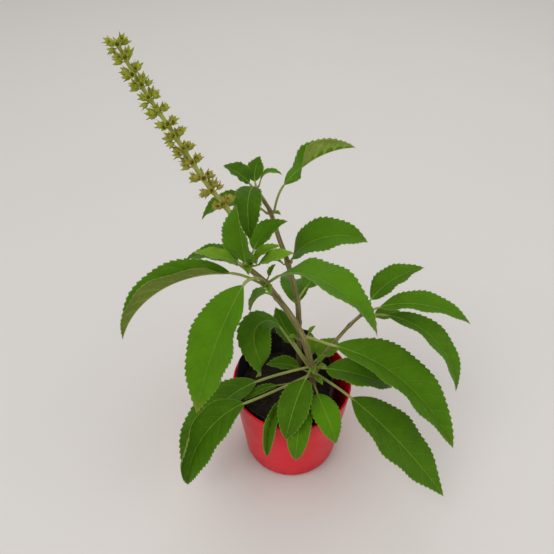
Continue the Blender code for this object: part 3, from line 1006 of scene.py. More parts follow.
def tube(path: Array, side: Array, up: Array, radii: Array,
         outline: Array) -> tuple[Array, list[Face], Array]:
    """A closed tube along a path.

    Args:
        path: Its points.
        side: A direction square to the path at each point.
        up: The other direction.
        radii: The radius at each point.
        outline: How far out the skin is round the tube, as shares of the radius.

    Returns:
        Points, faces, and the place facts of the points in mm.
    """
    count, rings = len(outline), len(path)
    angles = np.arange(count) * 2 * math.pi / count
    across = np.cos(angles) * outline
    above = np.sin(angles) * outline
    points = (path[:, None] + side[:, None] * (radii[:, None] * across)[..., None]
              + up[:, None] * (radii[:, None] * above)[..., None]).reshape(-1, 3)
    along = np.concatenate([[0.0], np.cumsum(np.linalg.norm(np.diff(path, axis=0), axis=1))])
    place = np.zeros((rings, count, 3))
    place[..., 0] = (np.abs(angles - math.pi) * radii[:, None]) / MM
    place[..., 1] = along[:, None] / MM
    place[..., 2] = FAR_FROM_RIM
    return points, walled(rings, count), place.reshape(-1, 3)


def walled(rings: int, count: int) -> list[Face]:
    """Faces of a closed skin of rings, with a flat cap at each end.

    Args:
        rings: How many rings of points there are.
        count: How many points each has.

    Returns:
        The walls ring by ring, then the first cap and the last.
    """
    faces: list[Face] = []
    for i in range(rings - 1):
        for j in range(count):
            k = (j + 1) % count
            faces.append((i * count + j, i * count + k, (i + 1) * count + k, (i + 1) * count + j))
    faces.append(tuple(range(count - 1, -1, -1)))
    faces.append(tuple(range((rings - 1) * count, rings * count)))
    return faces


def fanned(rings: int, turns: int) -> list[Face]:
    """Faces of a turned body whose rings run down from a top point to a bottom one.

    Args:
        rings: How many rings of points there are; the top point and the bottom one come after.
        turns: How many points each ring has.

    Returns:
        The faces, strip by strip round the body.
    """
    top, bottom = rings * turns, rings * turns + 1
    base = (rings - 1) * turns
    faces: list[Face] = []
    for j in range(turns):
        k = (j + 1) % turns
        faces.append((top, j, k))
        for i in range(rings - 1):
            faces.append((i * turns + j, (i + 1) * turns + j, (i + 1) * turns + k, i * turns + k))
        faces.append((bottom, base + k, base + j))
    return faces


def smooth_between(values: Array, low: float, high: float) -> Array:
    """A smooth rise from 0 to 1 between two values."""
    share = np.clip((values - low) / (high - low), 0.0, 1.0)
    return share * share * (3.0 - 2.0 * share)


@dataclass
class Piece:
    """One finished object with the slot it takes its finish from and the nodes it stands for."""

    item: Object
    slot: Slot
    nodes: tuple[str, ...] = ()

    def settle(self) -> None:
        """Make the piece ride on the plant's body and report it."""
        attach(self.item, BODY)
        if self.nodes:
            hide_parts(*self.nodes)
        LOG.info("%s: %d faces, slot %s", self.item.name, len(self.item.data.polygons),
                 self.slot.value)


# ---------- geometry node trees


class Growth:
    """Geometry node trees for what repeats, and the run that turns one into a plain mesh."""

    def __init__(self) -> None:
        """Build each tree once."""
        self.crumbs = self.build_crumbs()
        self.fuzz = self.build_fuzz()
        self.cups = self.build_cups()

    @staticmethod
    def scatter(graph: Graph, given: dict[str, Socket]) -> Node:
        """Points spread over the faces that come in, by the Density and Seed inputs."""
        return graph.add("GeometryNodeDistributePointsOnFaces", {
            "Mesh": given["Geometry"], "Density": given["Density"], "Seed": given["Seed"]})

    @staticmethod
    def random(graph: Graph, kind: str, low: Any, high: Any, seed: Socket) -> Socket:
        """A random number or vector for each instance.

        Args:
            graph: The tree's graph.
            kind: FLOAT or FLOAT_VECTOR.
            low: The least.
            high: The most.
            seed: The seed.

        Returns:
            The value.
        """
        node = graph.add("FunctionNodeRandomValue", data_type=kind)
        first = 0 if kind == "FLOAT_VECTOR" else 2
        graph.feed(node.inputs[first], low)
        graph.feed(node.inputs[first + 1], high)
        graph.feed(node.inputs["Seed"], seed)
        return node.outputs[0 if kind == "FLOAT_VECTOR" else 1]

    @classmethod
    def tumble(cls, graph: Graph, lean: float, seed: Socket) -> Socket:
        """A random turn for each instance, which leans up to an angle in radians."""
        return cls.random(graph, "FLOAT_VECTOR", (-lean, -lean, 0.0), (lean, lean, math.tau), seed)

    @staticmethod
    def plant(graph: Graph, points: Socket, shape: Socket, rotation: Socket,
              scale: Socket) -> Socket:
        """Put a shape on every point as real geometry."""
        put = graph.add("GeometryNodeInstanceOnPoints", {
            "Points": points, "Instance": shape, "Rotation": rotation, "Scale": scale})
        return graph.add("GeometryNodeRealizeInstances", {"Geometry": put.outputs[0]}).outputs[0]

    @staticmethod
    def dress(graph: Graph, geometry: Socket, material: Socket, **sockets: Any) -> Socket:
        """Give geometry its material, or only what the Selection input picks."""
        return graph.add("GeometryNodeSetMaterial", {
            "Geometry": geometry, "Material": material, **sockets}).outputs[0]

    def build_crumbs(self) -> NodeTree:
        """Soil crumbs over a bed.

        Returns:
            The tree: Geometry, Density, Smallest, Largest, Seed and Material in.
        """
        graph, given, result = new_group("soil_crumbs", "GeometryNodeTree", (
            ("Geometry", "Geometry", None), ("Density", "Float", 100000.0),
            ("Smallest", "Float", 0.5 * MM), ("Largest", "Float", 2.0 * MM),
            ("Seed", "Int", SEED), ("Material", "Material", None)),
            (("Geometry", "Geometry"),))
        spots = self.scatter(graph, given)
        lump = graph.add("GeometryNodeMeshIcoSphere", {"Radius": 1.0, "Subdivisions": 1})
        share = self.random(graph, "FLOAT", 0.0, 1.0, given["Seed"])
        skewed = graph.maths("POWER", share, 3.0)
        range_of_sizes = graph.maths("SUBTRACT", given["Largest"], given["Smallest"])
        size = graph.plus(given["Smallest"], graph.times(skewed, range_of_sizes))
        squat = self.random(
            graph, "FLOAT_VECTOR", (0.7, 0.7, 0.45), (1.25, 1.0, 0.9), given["Seed"])
        real = self.plant(graph, spots.outputs["Points"], lump.outputs["Mesh"],
                          self.tumble(graph, 0.5, given["Seed"]),
                          graph.vector("SCALE", squat, size))
        place = graph.add("GeometryNodeInputPosition").outputs[0]
        grain = graph.add("ShaderNodeTexNoise", {"Vector": place, "Scale": 900.0, "Detail": 1.0})
        centred = graph.vector("SUBTRACT", grain.outputs["Color"], (0.5, 0.5, 0.5))
        rough = graph.add("GeometryNodeSetPosition", {
            "Geometry": real, "Offset": graph.vector("SCALE", centred, 0.9 * MM)})
        graph.feed(result["Geometry"], self.dress(graph, rough.outputs[0], given["Material"]))
        return graph.tree

    def build_fuzz(self) -> NodeTree:
        """Fine hairs standing out of a skin.

        Returns:
            The tree: Geometry, Density, Length, Thickness, Seed and Material in.
        """
        graph, given, result = new_group("skin_fuzz", "GeometryNodeTree", (
            ("Geometry", "Geometry", None), ("Density", "Float", 100000.0),
            ("Length", "Float", 0.8 * MM), ("Thickness", "Float", 0.04 * MM),
            ("Seed", "Int", SEED), ("Material", "Material", None)),
            (("Geometry", "Geometry"),))
        spots = self.scatter(graph, given)
        hair = graph.add("GeometryNodeMeshCone", {
            "Vertices": 3, "Side Segments": 1, "Radius Top": 0.2, "Radius Bottom": 1.0,
            "Depth": 1.0})
        wide = given["Thickness"]
        long = graph.times(given["Length"], self.random(graph, "FLOAT", 0.4, 1.0, given["Seed"]))
        scale = graph.add("ShaderNodeCombineXYZ", {0: wide, 1: wide, 2: long})
        leaning = graph.add("FunctionNodeRotateRotation", {
            "Rotation": spots.outputs["Rotation"],
            "Rotate By": self.tumble(graph, 0.5, given["Seed"])}, rotation_space="LOCAL")
        real = self.plant(graph, spots.outputs["Points"], hair.outputs["Mesh"],
                          leaning.outputs[0], scale.outputs[0])
        graph.feed(result["Geometry"], self.dress(graph, real, given["Material"]))
        return graph.tree

    def build_cups(self) -> NodeTree:
        """Flower cups round a stalk, one on each point that comes in, facing away from the axis.

        Returns:
            The tree: Geometry, Cup, Tilt, Spread, Size, Seed, Material and Seeds material in.
        """
        graph, given, result = new_group("flower_cups", "GeometryNodeTree", (
            ("Geometry", "Geometry", None), ("Cup", "Object", None),
            ("Tilt", "Float", 0.4), ("Spread", "Float", 0.2),
            ("Size", "Float", 1.0), ("Seed", "Int", SEED),
            ("Material", "Material", None), ("Seeds", "Material", None)),
            (("Geometry", "Geometry"),))
        cup = graph.add("GeometryNodeObjectInfo", {"Object": given["Cup"]})
        place = graph.add("GeometryNodeInputPosition").outputs[0]
        outward = graph.vector("MULTIPLY", place, (1.0, 1.0, 0.0))
        rise = graph.plus(given["Tilt"], self.random(
            graph, "FLOAT", graph.times(given["Spread"], -1.0), given["Spread"], given["Seed"]))
        lifted = graph.add("ShaderNodeCombineXYZ", {2: rise}).outputs[0]
        aim = graph.vector("ADD", graph.vector("NORMALIZE", outward), lifted)
        facing = graph.add("FunctionNodeAlignRotationToVector", {"Vector": aim}, axis="Z")
        leaning = graph.add("FunctionNodeRotateRotation", {
            "Rotation": facing.outputs[0],
            "Rotate By": self.tumble(graph, 0.25, given["Seed"])}, rotation_space="LOCAL")
        size = graph.times(given["Size"], self.random(graph, "FLOAT", 0.85, 1.1, given["Seed"]))
        real = self.plant(graph, given["Geometry"], cup.outputs["Geometry"],
                          leaning.outputs[0], size)
        dressed = self.dress(graph, real, given["Material"])
        inside = graph.add("GeometryNodeInputNamedAttribute", {"Name": "inside"},
                           data_type="FLOAT")
        picked = graph.maths("GREATER_THAN", inside.outputs[0], 0.5)
        graph.feed(result["Geometry"], self.dress(
            graph, dressed, given["Seeds"], Selection=picked))
        return graph.tree

    @staticmethod
    def run(base: Object, tree: NodeTree, values: dict[str, Any],
            name: str) -> Mesh:
        """Grow a tree's result on an object as a plain mesh.

        Args:
            base: The object that carries the modifier for the run.
            tree: The tree.
            values: The modifier's inputs by their label.
            name: The new mesh's name.

        Returns:
            The mesh.
        """
        modifier = base.modifiers.new("growth", "NODES")
        modifier.node_group = tree
        for item in tree.interface.items_tree:
            if item.item_type == "SOCKET" and item.in_out == "INPUT" and item.name in values:
                modifier[item.identifier] = values[item.name]
        bpy.context.view_layer.update()
        graph = bpy.context.evaluated_depsgraph_get()
        mesh = bpy.data.meshes.new_from_object(base.evaluated_get(graph), depsgraph=graph)
        mesh.name = name
        base.modifiers.remove(modifier)
        return mesh


# ---------- pot, bag and soil


def lathe(outline: Sequence[tuple[float, float]],
          turns: int) -> tuple[Array, list[Face]]:
    """Turn an outline that starts and ends on the axis.

    Args:
        outline: Radius and height of each point; its outer side runs from top to bottom.
        turns: How many steps round.

    Returns:
        Points and faces.
    """
    inner = outline[1:-1]
    angles = np.arange(turns) * math.tau / turns
    radius, height = np.array(inner).T
    grid = np.stack(np.broadcast_arrays(
        radius[:, None] * np.cos(angles), radius[:, None] * np.sin(angles), height[:, None]), -1)
    points = np.vstack([grid.reshape(-1, 3), (0, 0, outline[0][1]), (0, 0, outline[-1][1])])
    return points, fanned(len(inner), turns)


def corner(centre: tuple[float, float], radius: float, start: float, end: float,
           count: int) -> list[tuple[float, float]]:
    """Points of a round corner in an outline, angles in degrees."""
    return [(centre[0] + radius * math.cos(a), centre[1] + radius * math.sin(a))
            for a in np.radians(np.linspace(start, end, count))]


@dataclass
class Pot:
    """The moulded cup."""

    site: Site
    turns: int = 160
    lip: float = 0.9 * MM
    foot: float = 9.0 * MM
    stand_width: float = 3.0 * MM
    stand_depth: float = 0.8 * MM

    def build(self, palette: Palette) -> list[Piece]:
        """Build and dress the cup.

        Args:
            palette: The finishes.

        Returns:
            The pot's piece.
        """
        site, lip, foot = self.site, self.lip, self.foot
        centre = (site.pot_radius(foot) - foot, foot)
        bottom = centre[0]
        outline = [(0.0, site.wall), (0.5 * bottom, site.wall)]
        outline += corner(centre, foot - site.wall, -90, 0, 8)
        outline += [(site.pot_radius(h) - site.wall, h)
                    for h in np.linspace(0.2, 0.93, 9) * site.pot_height]
        outline += corner((site.rim_radius - lip, site.pot_height - lip), lip, 180, 0, 9)
        outline += [(site.pot_radius(h), h) for h in np.linspace(0.95, 0.12, 14) * site.pot_height]
        outline += corner(centre, foot, 0, -90, 10)
        outline += [(bottom - self.stand_width, 0.0),
                    (bottom - self.stand_width - 0.6 * MM, self.stand_depth),
                    (0.35 * bottom, self.stand_depth), (3.0 * MM, self.stand_depth),
                    (2.4 * MM, 0.3 * self.stand_depth), (0.0, 0.3 * self.stand_depth)]
        shape = Shape()
        shape.add(*lathe(outline, self.turns))
        return [Piece(shape.to_object("pot_shell", [palette.plastic]), Slot.POT, ("pot",))]


@dataclass
class NurseryBag:
    """The thin bag inside the pot, crinkled, its back edge standing over the rim."""

    site: Site
    above_rim: float = 22.0 * MM
    front_drop: float = 3.0 * MM
    middle: float = 98.0
    spread: float = 84.0
    pull_in: float = 4.0 * MM
    sag: float = 6.0 * MM
    pull_middle: float = -14.0
    pull_spread: float = 52.0
    ragged: tuple[float, float] = (1.3 * MM, 0.5 * MM)
    crinkle: tuple[float, float] = (0.3 * MM, 1.9 * MM)
    turns: int = 180
    rows: int = 34

    @staticmethod
    def swell(angle: Array, middle: float, half: float) -> Array:
        """A smooth rise from 0 to 1 about a middle angle and back, in degrees."""
        away = np.abs((angle - middle + 180.0) % 360.0 - 180.0) / half
        return np.cos(0.5 * math.pi * np.minimum(1.0, away)) ** 2

    def wall_point(self, angle: float, up: float) -> tuple[float, float]:
        """Radius and height of the bag's outer wall.

        Args:
            angle: The angle round the pot in degrees.
            up: 0 at the floor corner, 1 at the soil and 2 at the edge.

        Returns:
            Radius and height.
        """
        site = self.site
        low = site.pot_height - self.front_drop
        slack = float(self.swell(np.array(angle), self.pull_middle, self.pull_spread))
        edge = low + (site.pot_height + self.above_rim - low) * math.sqrt(
            float(self.swell(np.array(angle), self.middle, self.spread))) - self.sag * slack
        floor = site.wall + site.bag_gap + site.bag_corner
        turn = math.radians(angle)
        spot = Vector((math.cos(turn), math.sin(turn), up))
        if up <= 1.0:
            height, over = floor + (site.soil_top - floor) * up, 0.0
        else:
            over = up - 1.0
            broad, fine = self.ragged
            ragged = broad * noise.noise(spot * 4.0) + fine * noise.noise(spot * 13.0)
            height = site.soil_top + (edge + ragged * over - site.soil_top) * over
        pulled = self.pull_in * slack * over
        radius = site.bag_radius(min(height, site.pot_height)) - pulled
        clear = float(smooth_between(
            np.array(height), site.pot_height - 4.0 * MM, site.pot_height + 8.0 * MM))
        folds = noise.noise(Vector((spot.x * 5.0, spot.y * 5.0, up * 1.6))) + 0.6 * noise.noise(
            Vector((spot.x * 12.0, spot.y * 12.0, up * 4.0)))
        radius += folds * (self.crinkle[0] + self.crinkle[1] * clear) - 0.5 * MM * clear
        return radius, height

    def build(self, palette: Palette) -> list[Piece]:
        """Build and dress the bag.

        Args:
            palette: The finishes.

        Returns:
            The bag's piece.
        """
        site = self.site
        ups = np.concatenate([
            np.linspace(0.0, 0.92, self.rows // 3), np.linspace(1.0, 2.0, self.rows * 2 // 3)])
        outer = np.zeros((len(ups), self.turns, 3))
        inner = np.zeros_like(outer)
        for i, up in enumerate(ups):
            for j in range(self.turns):
                angle = 360.0 * j / self.turns
                radius, height = self.wall_point(angle, up)
                turn = math.radians(angle)
                outer[i, j] = (radius * math.cos(turn), radius * math.sin(turn), height)
                thin = radius - site.bag_wall
                inner[i, j] = (thin * math.cos(turn), thin * math.sin(turn), height)
        floor = site.wall + site.bag_gap

        def floor_rings(*plan: tuple[float, float]) -> list[Array]:
            """Rings of the rounded floor, by share of the wall's radius and height over it."""
            return [outer[0] * (share, share, 0.0) + (0.0, 0.0, floor + lift)
                    for share, lift in plan]

        rings = floor_rings((0.82, 0.0), (0.95, 2.6 * MM)) + list(outer) + list(inner[::-1])
        rings += floor_rings((0.94, 3.1 * MM), (0.81, site.bag_wall))
        shape = Shape()
        shape.add(np.vstack(rings) + site.bag_shift(), walled(len(rings), self.turns))
        return [Piece(shape.to_object("bag_film", [palette.film]), Slot.BAG, ("nursery_bag",))]


@dataclass
class SoilBed:
    """Soil in the bag, its top uneven and crumbly."""

    site: Site
    growth: Growth
    turns: int = 120
    rings: int = 34
    dome: float = 3.0 * MM
    side_gap: float = 0.9 * MM
    crumbs_per_m2: float = 190000.0
    crumb_sizes: tuple[float, float] = (0.35 * MM, 2.3 * MM)

    def height(self, x: float, y: float, radius: float) -> float:
        """Height of the soil's top at a place.

        Args:
            x: Its x.
            y: Its y.
            radius: The bed's radius.

        Returns:
            The height.
        """
        away = math.hypot(x, y) / radius
        lumps = (noise.noise(Vector((x, y, 0.0)) * 120.0) * 1.3
                 + abs(noise.noise(Vector((x, y, 3.0)) * 260.0)) * 1.5
                 + noise.noise(Vector((x, y, 7.0)) * 620.0) * 0.7) * MM
        return self.site.soil_top - self.dome * away ** 2 - 0.6 * MM + lumps

    def build(self, palette: Palette) -> list[Piece]:
        """Build and dress the bed and its crumbs.

        Args:
            palette: The finishes.

        Returns:
            The bed and the crumbs.
        """
        site = self.site
        gap = site.bag_wall + self.side_gap
        radius = site.bag_radius(site.soil_top) - gap
        floor = site.wall + site.bag_gap + site.bag_wall + 1.0 * MM
        angles = np.arange(self.turns) * math.tau / self.turns
        rows = [np.array([(r * math.cos(a), r * math.sin(a), 0.0) for a in angles])
                for r in radius * np.linspace(0.0, 1.0, self.rings + 1)[1:]]
        for row in rows:
            for point in row:
                point[2] = self.height(point[0], point[1], radius)
        lower = [(site.bag_radius(0.5 * site.soil_top) - gap, 0.5 * site.soil_top),
                 (site.bag_radius(floor + site.bag_corner) - gap, floor + site.bag_corner),
                 (site.bag_radius(floor) - gap - 7.0 * MM, floor)]
        for r, h in lower:
            rows.append(np.array([(r * math.cos(a), r * math.sin(a), h) for a in angles]))
        ends = np.array([(0.0, 0.0, self.height(0.0, 0.0, radius)), (0.0, 0.0, floor)])
        points = np.vstack(rows + [ends])
        points += site.bag_shift()
        top = len(points) - 2
        faces = fanned(len(rows), self.turns)
        shape = Shape()
        shape.add(points, faces)
        bed = shape.to_object("soil_bed", [palette.soil])
        lid_faces = [face for face in faces if max(face) < self.rings * self.turns or top in face]
        lid_mesh = bpy.data.meshes.new("soil_lid")
        lid_mesh.from_pydata(points.tolist(), [], lid_faces)
        lid = link("soil_lid", lid_mesh)
        crumbs = self.growth.run(lid, self.growth.crumbs, {
            "Density": self.crumbs_per_m2, "Smallest": self.crumb_sizes[0],
            "Largest": self.crumb_sizes[1], "Seed": SEED, "Material": palette.soil}, "soil_crumbs")
        bpy.data.objects.remove(lid)
        return [Piece(bed, Slot.SOIL, ("soil",)), Piece(link("soil_crumbs", crumbs), Slot.SOIL)]


# ---------- stems


@dataclass
class StemRun:
    """One stem: its nodes and radii, in metres."""

    nodes: Array
    foot: float
    head: float

    def radius(self, node: float) -> float:
        """Radius at a node number."""
        return self.foot + (self.head - self.foot) * node / (len(self.nodes) - 1)

    def ahead(self, node: int) -> Array:
        """The stem's direction at a node."""
        return unit(self.nodes[min(node + 1, len(self.nodes) - 1)] - self.nodes[max(node - 1, 0)])


@dataclass
class Stems:
    """The three stems and their fuzz."""

    site: Site
    growth: Growth
    sides: int = 24
    spacing: float = 1.1 * MM
    squareness: float = 0.075
    knuckle: float = 0.22
    knuckle_reach: float = 2.6 * MM
    hairs_per_m2: float = 420000.0
    hair: tuple[float, float] = (0.9 * MM, 0.035 * MM)

    def __post_init__(self) -> None:
        """Work out the runs from the plan."""
        grown = self.site.growth
        self.runs = {name: StemRun(self.site.grown(nodes), foot * grown, head * grown)
                     for name, (foot, head, nodes) in STEMS_MM.items()}

    def skin(self, run: StemRun, knuckles: Sequence[int], start: Array | None,
             foot_dark: float) -> Shape:
        """The skin of one stem.

        Args:
            run: The stem.
            knuckles: The nodes that are swollen.
            start: A point inside the parent stem that it grows from, if any.
            foot_dark: Length of the darker foot in metres.

        Returns:
            The shape.
        """
        nodes = run.nodes if start is None else np.vstack([start, run.nodes])
        path, count = flowing(nodes, self.spacing)
        count = count if start is None else np.maximum(count - 1.0, 0.0)
        if start is None:
            path = np.vstack([path[0] - (0.0, 0.0, 4.0 * MM), path])
            count = np.concatenate([[0.0], count])
        radii = np.array([run.radius(c) for c in count])
        for knuckle in knuckles:
            away = np.linalg.norm(path - run.nodes[knuckle], axis=1)
            radii = radii * (1.0 + self.knuckle * np.exp(-(away / self.knuckle_reach) ** 2))
        side, up = carried(path)
        angles = np.arange(self.sides) * math.tau / self.sides
        outline = 1.0 + self.squareness * np.cos(4.0 * angles) - 0.03 * np.cos(8.0 * angles)
        points, faces, place = tube(path, side, up, radii, outline)
        along = place[:, 1] * MM
        shape = Shape()
        shape.add(points, faces, 0, place, None, 1.0 - smooth_between(along, 0.0, foot_dark))
        return shape

    def build(self, palette: Palette) -> list[Piece]:
        """Build and dress the stems.

        Args:
            palette: The finishes.

        Returns:
            A skin and a fuzz for each stem.
        """
        pieces = []
        main = self.runs["stem_main"]
        plans = {"stem_main": ((1, 2, 3, 4, 6, 7, 8), None, 60 * MM),
                 "stem_rear": ((2, 3, 4, 6, 7, 8), None, 60 * MM),
                 "stem_right": ((1, 2, 3, 4), main.nodes[2], 12 * MM)}
        for name, (knuckles, start, dark) in plans.items():
            shape = self.skin(self.runs[name], knuckles, start, dark)
            item = shape.to_object(f"{name}_skin", [palette.stem])
            pieces.append(Piece(item, Slot.STEM, (name,)))
            fuzz = self.growth.run(item, self.growth.fuzz, {
                "Density": self.hairs_per_m2, "Length": self.hair[0], "Thickness": self.hair[1],
                "Seed": SEED, "Material": palette.fuzz}, f"{name}_fuzz")
            pieces.append(Piece(link(f"{name}_fuzz", fuzz), Slot.STEM))
        return pieces


# ---------- leaves


@dataclass
class LeafBuilder:
    """Builds a leaf from its plan: toothed quilted blade, midrib and stalk."""

    site: Site
    runs: dict[str, StemRun]
    rows_per_tooth: int = 6
    columns: tuple[float, ...] = (0.0, 0.05, 0.14, 0.26, 0.40, 0.54, 0.68, 0.81, 0.92, 1.0)
    belly: tuple[float, float] = (0.85, 1.10)
    standoff: float = 1.3
    thickness: float = 0.42
    stalk_sides: int = 10
    vein_pairs: float = 7.0
    vein_span: float = 0.84
    quilt: float = 0.062
    flutter: float = 0.035
    # Each is a size of the narrowest or shortest leaf and its growth per millimetre of the leaf's
    # width, or of its length for the teeth's pitch; the third is where it stops, in millimetres.
    tooth_pitch: tuple[float, float] = (2.7, 0.016)
    tooth_depth: tuple[float, float, float] = (0.5, 0.030, 1.7)
    stalk_radius: tuple[float, float, float] = (0.48, 0.020, 1.25)
    flare: float = 0.55
    flare_reach: float = 2.4
    midrib_end: float = 0.97

    def half_width(self, share: Array, width: float) -> Array:
        """Half the blade's width, without its teeth.

        Args:
            share: Shares of the blade's length.
            width: The blade's width.

        Returns:
            The half widths.
        """
        base, tip = self.belly
        widest = base / (base + tip)
        curve = share ** base * (1.0 - share) ** tip / (widest ** base * (1.0 - widest) ** tip)
        least = 0.55 * self.site.growth * np.sqrt(1.0 - share)
        return np.maximum(np.maximum(0.5 * width * curve, least), 0.12 * self.site.growth)

    def halves(self, plan: LeafPlan, share: Array) -> tuple[Array, ...]:
        """Rise and curl of the blade's two halves.

        Args:
            plan: The leaf.
            share: Shares of the blade's length.

        Returns:
            Right rise, left rise, right curl and left curl in degrees.
        """
        if plan.bends:
            keys = np.array(plan.bends, float)
            eased = [np.interp(share, keys[:, 0], keys[:, i]) for i in range(1, 5)]
            return tuple(np.radians(values) for values in eased)
        fold = plan.fold * np.minimum(1.0, 4.0 * share)
        roll = plan.roll * np.minimum(1.0, 3.0 * share)
        none = np.zeros_like(share)
        return np.radians(fold + roll), np.radians(fold - roll), none, none

    def build(self, plan: LeafPlan, shape: Shape, tone: float, wave: float) -> None:
        """Put one leaf into a shape.

        Args:
            plan: The leaf.
            shape: Where it goes.
            tone: Its tone, 0 to 1: partly its own colour and partly painted light and shade.
            wave: Where its margin's waves start, in turns.
        """
        mm = self.site.growth
        run = self.runs[plan.stem]
        stalk, length = plan.stalk * mm, plan.length * mm
        outward = direction(plan.azimuth, plan.rise)
        ahead = run.ahead(plan.node)
        outward = unit(outward - ahead * np.dot(outward, ahead))
        stem_radius = run.radius(plan.node)
        inside = run.nodes[plan.node] + outward * stem_radius * 0.3
        start = run.nodes[plan.node] + outward * (stem_radius + self.standoff * mm)

        steps = max(3, int(plan.stalk / 1.5))
        middle = (np.arange(steps) + 0.5) / steps
        slopes = plan.rise + (plan.lift - plan.rise) * middle ** 2
        stalk_line = start + np.cumsum(direction(plan.azimuth, slopes) * stalk / steps, axis=0)

        least, per_mm = self.tooth_pitch
        teeth = max(4, round(plan.length / (least + per_mm * plan.length)))
        rows = teeth * self.rows_per_tooth
        share = np.linspace(0.0, 1.0, rows + 1)
        middle = 0.5 * (share[1:] + share[:-1])
        moves = direction(plan.azimuth + plan.turn * middle,
                          plan.lift + (plan.droop - plan.lift) * middle) * length / rows
        line = stalk_line[-1] + np.vstack([np.zeros(3), np.cumsum(moves, axis=0)])
        bearing = plan.azimuth + plan.turn * share
        along = direction(bearing, plan.lift + (plan.droop - plan.lift) * share)
        side = direction(bearing - 90.0, 0.0)
        up = np.cross(side, along)

        self.add_blade(plan, shape, share, line, side, up, tone, wave)
        self.add_stalk(plan, shape, inside, start, stalk_line, share, line, side, up)

    def add_blade(self, plan: LeafPlan, shape: Shape, share: Array, line: Array,
                  side: Array, up: Array, tone: float, wave: float) -> None:
        """The blade: two skins and the rim between them.

        Args:
            plan: The leaf.
            shape: Where it goes.
            share: Shares of the blade's length, one for each row.
            line: The midrib's points.
            side: The direction to the right at each.
            up: The direction out of the upper face at each.
            tone: The leaf's tone: partly its own colour and partly painted light and shade.
            wave: Where its margin's waves start, in turns.
        """
        mm = self.site.growth
        length, width = plan.length * mm, plan.width * mm
        half = self.half_width(share, width)
        q = np.array(self.columns)
        steps, middle = np.diff(q), 0.5 * (q[1:] + q[:-1])
        toothed = smooth_between(share, 0.08, 0.22) * (1.0 - smooth_between(share, 0.94, 1.0))
        least, per_mm, most = self.tooth_depth
        depth = min(most, least + per_mm * plan.width) * mm
        rows_per_tooth = self.rows_per_tooth
        spacing = length * self.vein_span / self.vein_pairs
        widest = 0.5 * width
        sides, counts, reaches, rims = [], [], [], []
        rise_right, rise_left, curl_right, curl_left = self.halves(plan, share)
        root = np.zeros((len(share), 1))
        for sign, rise, curl, shift in (
                (1.0, rise_right, curl_right, 0), (-1.0, rise_left, curl_left, 3)):
            angle = rise[:, None] * (1.22 - 0.44 * middle) + curl[:, None] * middle ** 2
            x = np.hstack([root, np.cumsum(np.cos(angle) * steps, 1)]) * half[:, None]
            h = np.hstack([root, np.cumsum(np.sin(angle) * steps, 1)]) * half[:, None]
            phase = ((np.arange(len(share)) + shift) % rows_per_tooth) / (rows_per_tooth - 1)
            tooth = depth * toothed * (phase ** 0.8 - 0.45)
            x[:, -1] += np.cos(angle[:, -1]) * tooth
            h[:, -1] += np.sin(angle[:, -1]) * tooth
            over = q[None] * half[:, None]
            count = (share[:, None] * length - 0.72 * over - 0.55 * over ** 2 / widest) / spacing
            inner = np.sin(math.pi * np.clip(q * 0.96, 0, 1)) ** 0.6
            ridges = np.abs(np.sin(math.pi * count)) ** 0.7 - 0.55
            quilt = self.quilt * spacing * ridges * inner * (half / widest)[:, None] ** 0.7
            flutter = (self.flutter * width * np.sin(math.tau * (share * 3.1 + wave + 0.25 * sign))
                       * (half / widest))[:, None] * q[None] ** 2
            tilt = np.concatenate([angle[:, :1], angle], 1)
            lift = quilt + flutter
            x = x - np.sin(tilt) * lift
            h = h + np.cos(tilt) * lift
            sides.append(line[:, None] + side[:, None] * (sign * x)[..., None]
                         + up[:, None] * h[..., None])
            counts.append(count)
            reaches.append(np.broadcast_to(q, count.shape))
            rims.append((half[:, None] * (1.0 - q[None])) / mm)
        grid = np.concatenate([sides[1][:, :0:-1], sides[0]], axis=1)

        def spread(pair: list[Array]) -> Array:
            """One array over both halves, from the left margin to the right one."""
            return np.concatenate([pair[1][:, :0:-1], pair[0]], axis=1)

        reach = spread(reaches)
        normal = unit(np.cross(np.gradient(grid, axis=1), np.gradient(grid, axis=0)))
        thick = (self.thickness * mm * (1.0 - 0.5 * reach ** 4) * (
            1.0 - 0.5 * smooth_between(share, 0.9, 1.0))[:, None])[..., None]
        upper, lower = grid + 0.5 * thick * normal, grid - 0.5 * thick * normal
        size = grid.shape[0] * grid.shape[1]
        across = spread([half[:, None] * q[None] / mm, -half[:, None] * q[None] / mm])
        down = np.broadcast_to((share * plan.length)[:, None], across.shape)
        place = np.stack([across, down, spread(rims)], -1).reshape(-1, 3)
        shares = np.broadcast_to(share[:, None], across.shape)
        lamina = np.stack([spread(counts), reach, shares], -1).reshape(-1, 3)

        rows, wide = grid.shape[:2]
        number = np.arange(size).reshape(rows, wide)
        a, b, c, d = number[:-1, :-1], number[:-1, 1:], number[1:, 1:], number[1:, :-1]
        top = np.stack([a, b, c, d], -1).reshape(-1, 4)
        under = np.stack([d, c, b, a], -1).reshape(-1, 4) + size
        loop = np.concatenate([
            number[0, :-1], number[:-1, -1], number[-1, :0:-1], number[:0:-1, 0]])
        following = np.roll(loop, -1)
        edge = np.stack([loop, loop + size, following + size, following], -1)
        faces = np.vstack([top, under, edge]).tolist()
        marks = [Side.UPPER.value] * len(top) + [Side.LOWER.value] * (len(under) + len(edge))
        shape.add(np.concatenate([upper.reshape(-1, 3), lower.reshape(-1, 3)]), faces, marks,
                  np.concatenate([place] * 2), np.concatenate([lamina] * 2), tone)

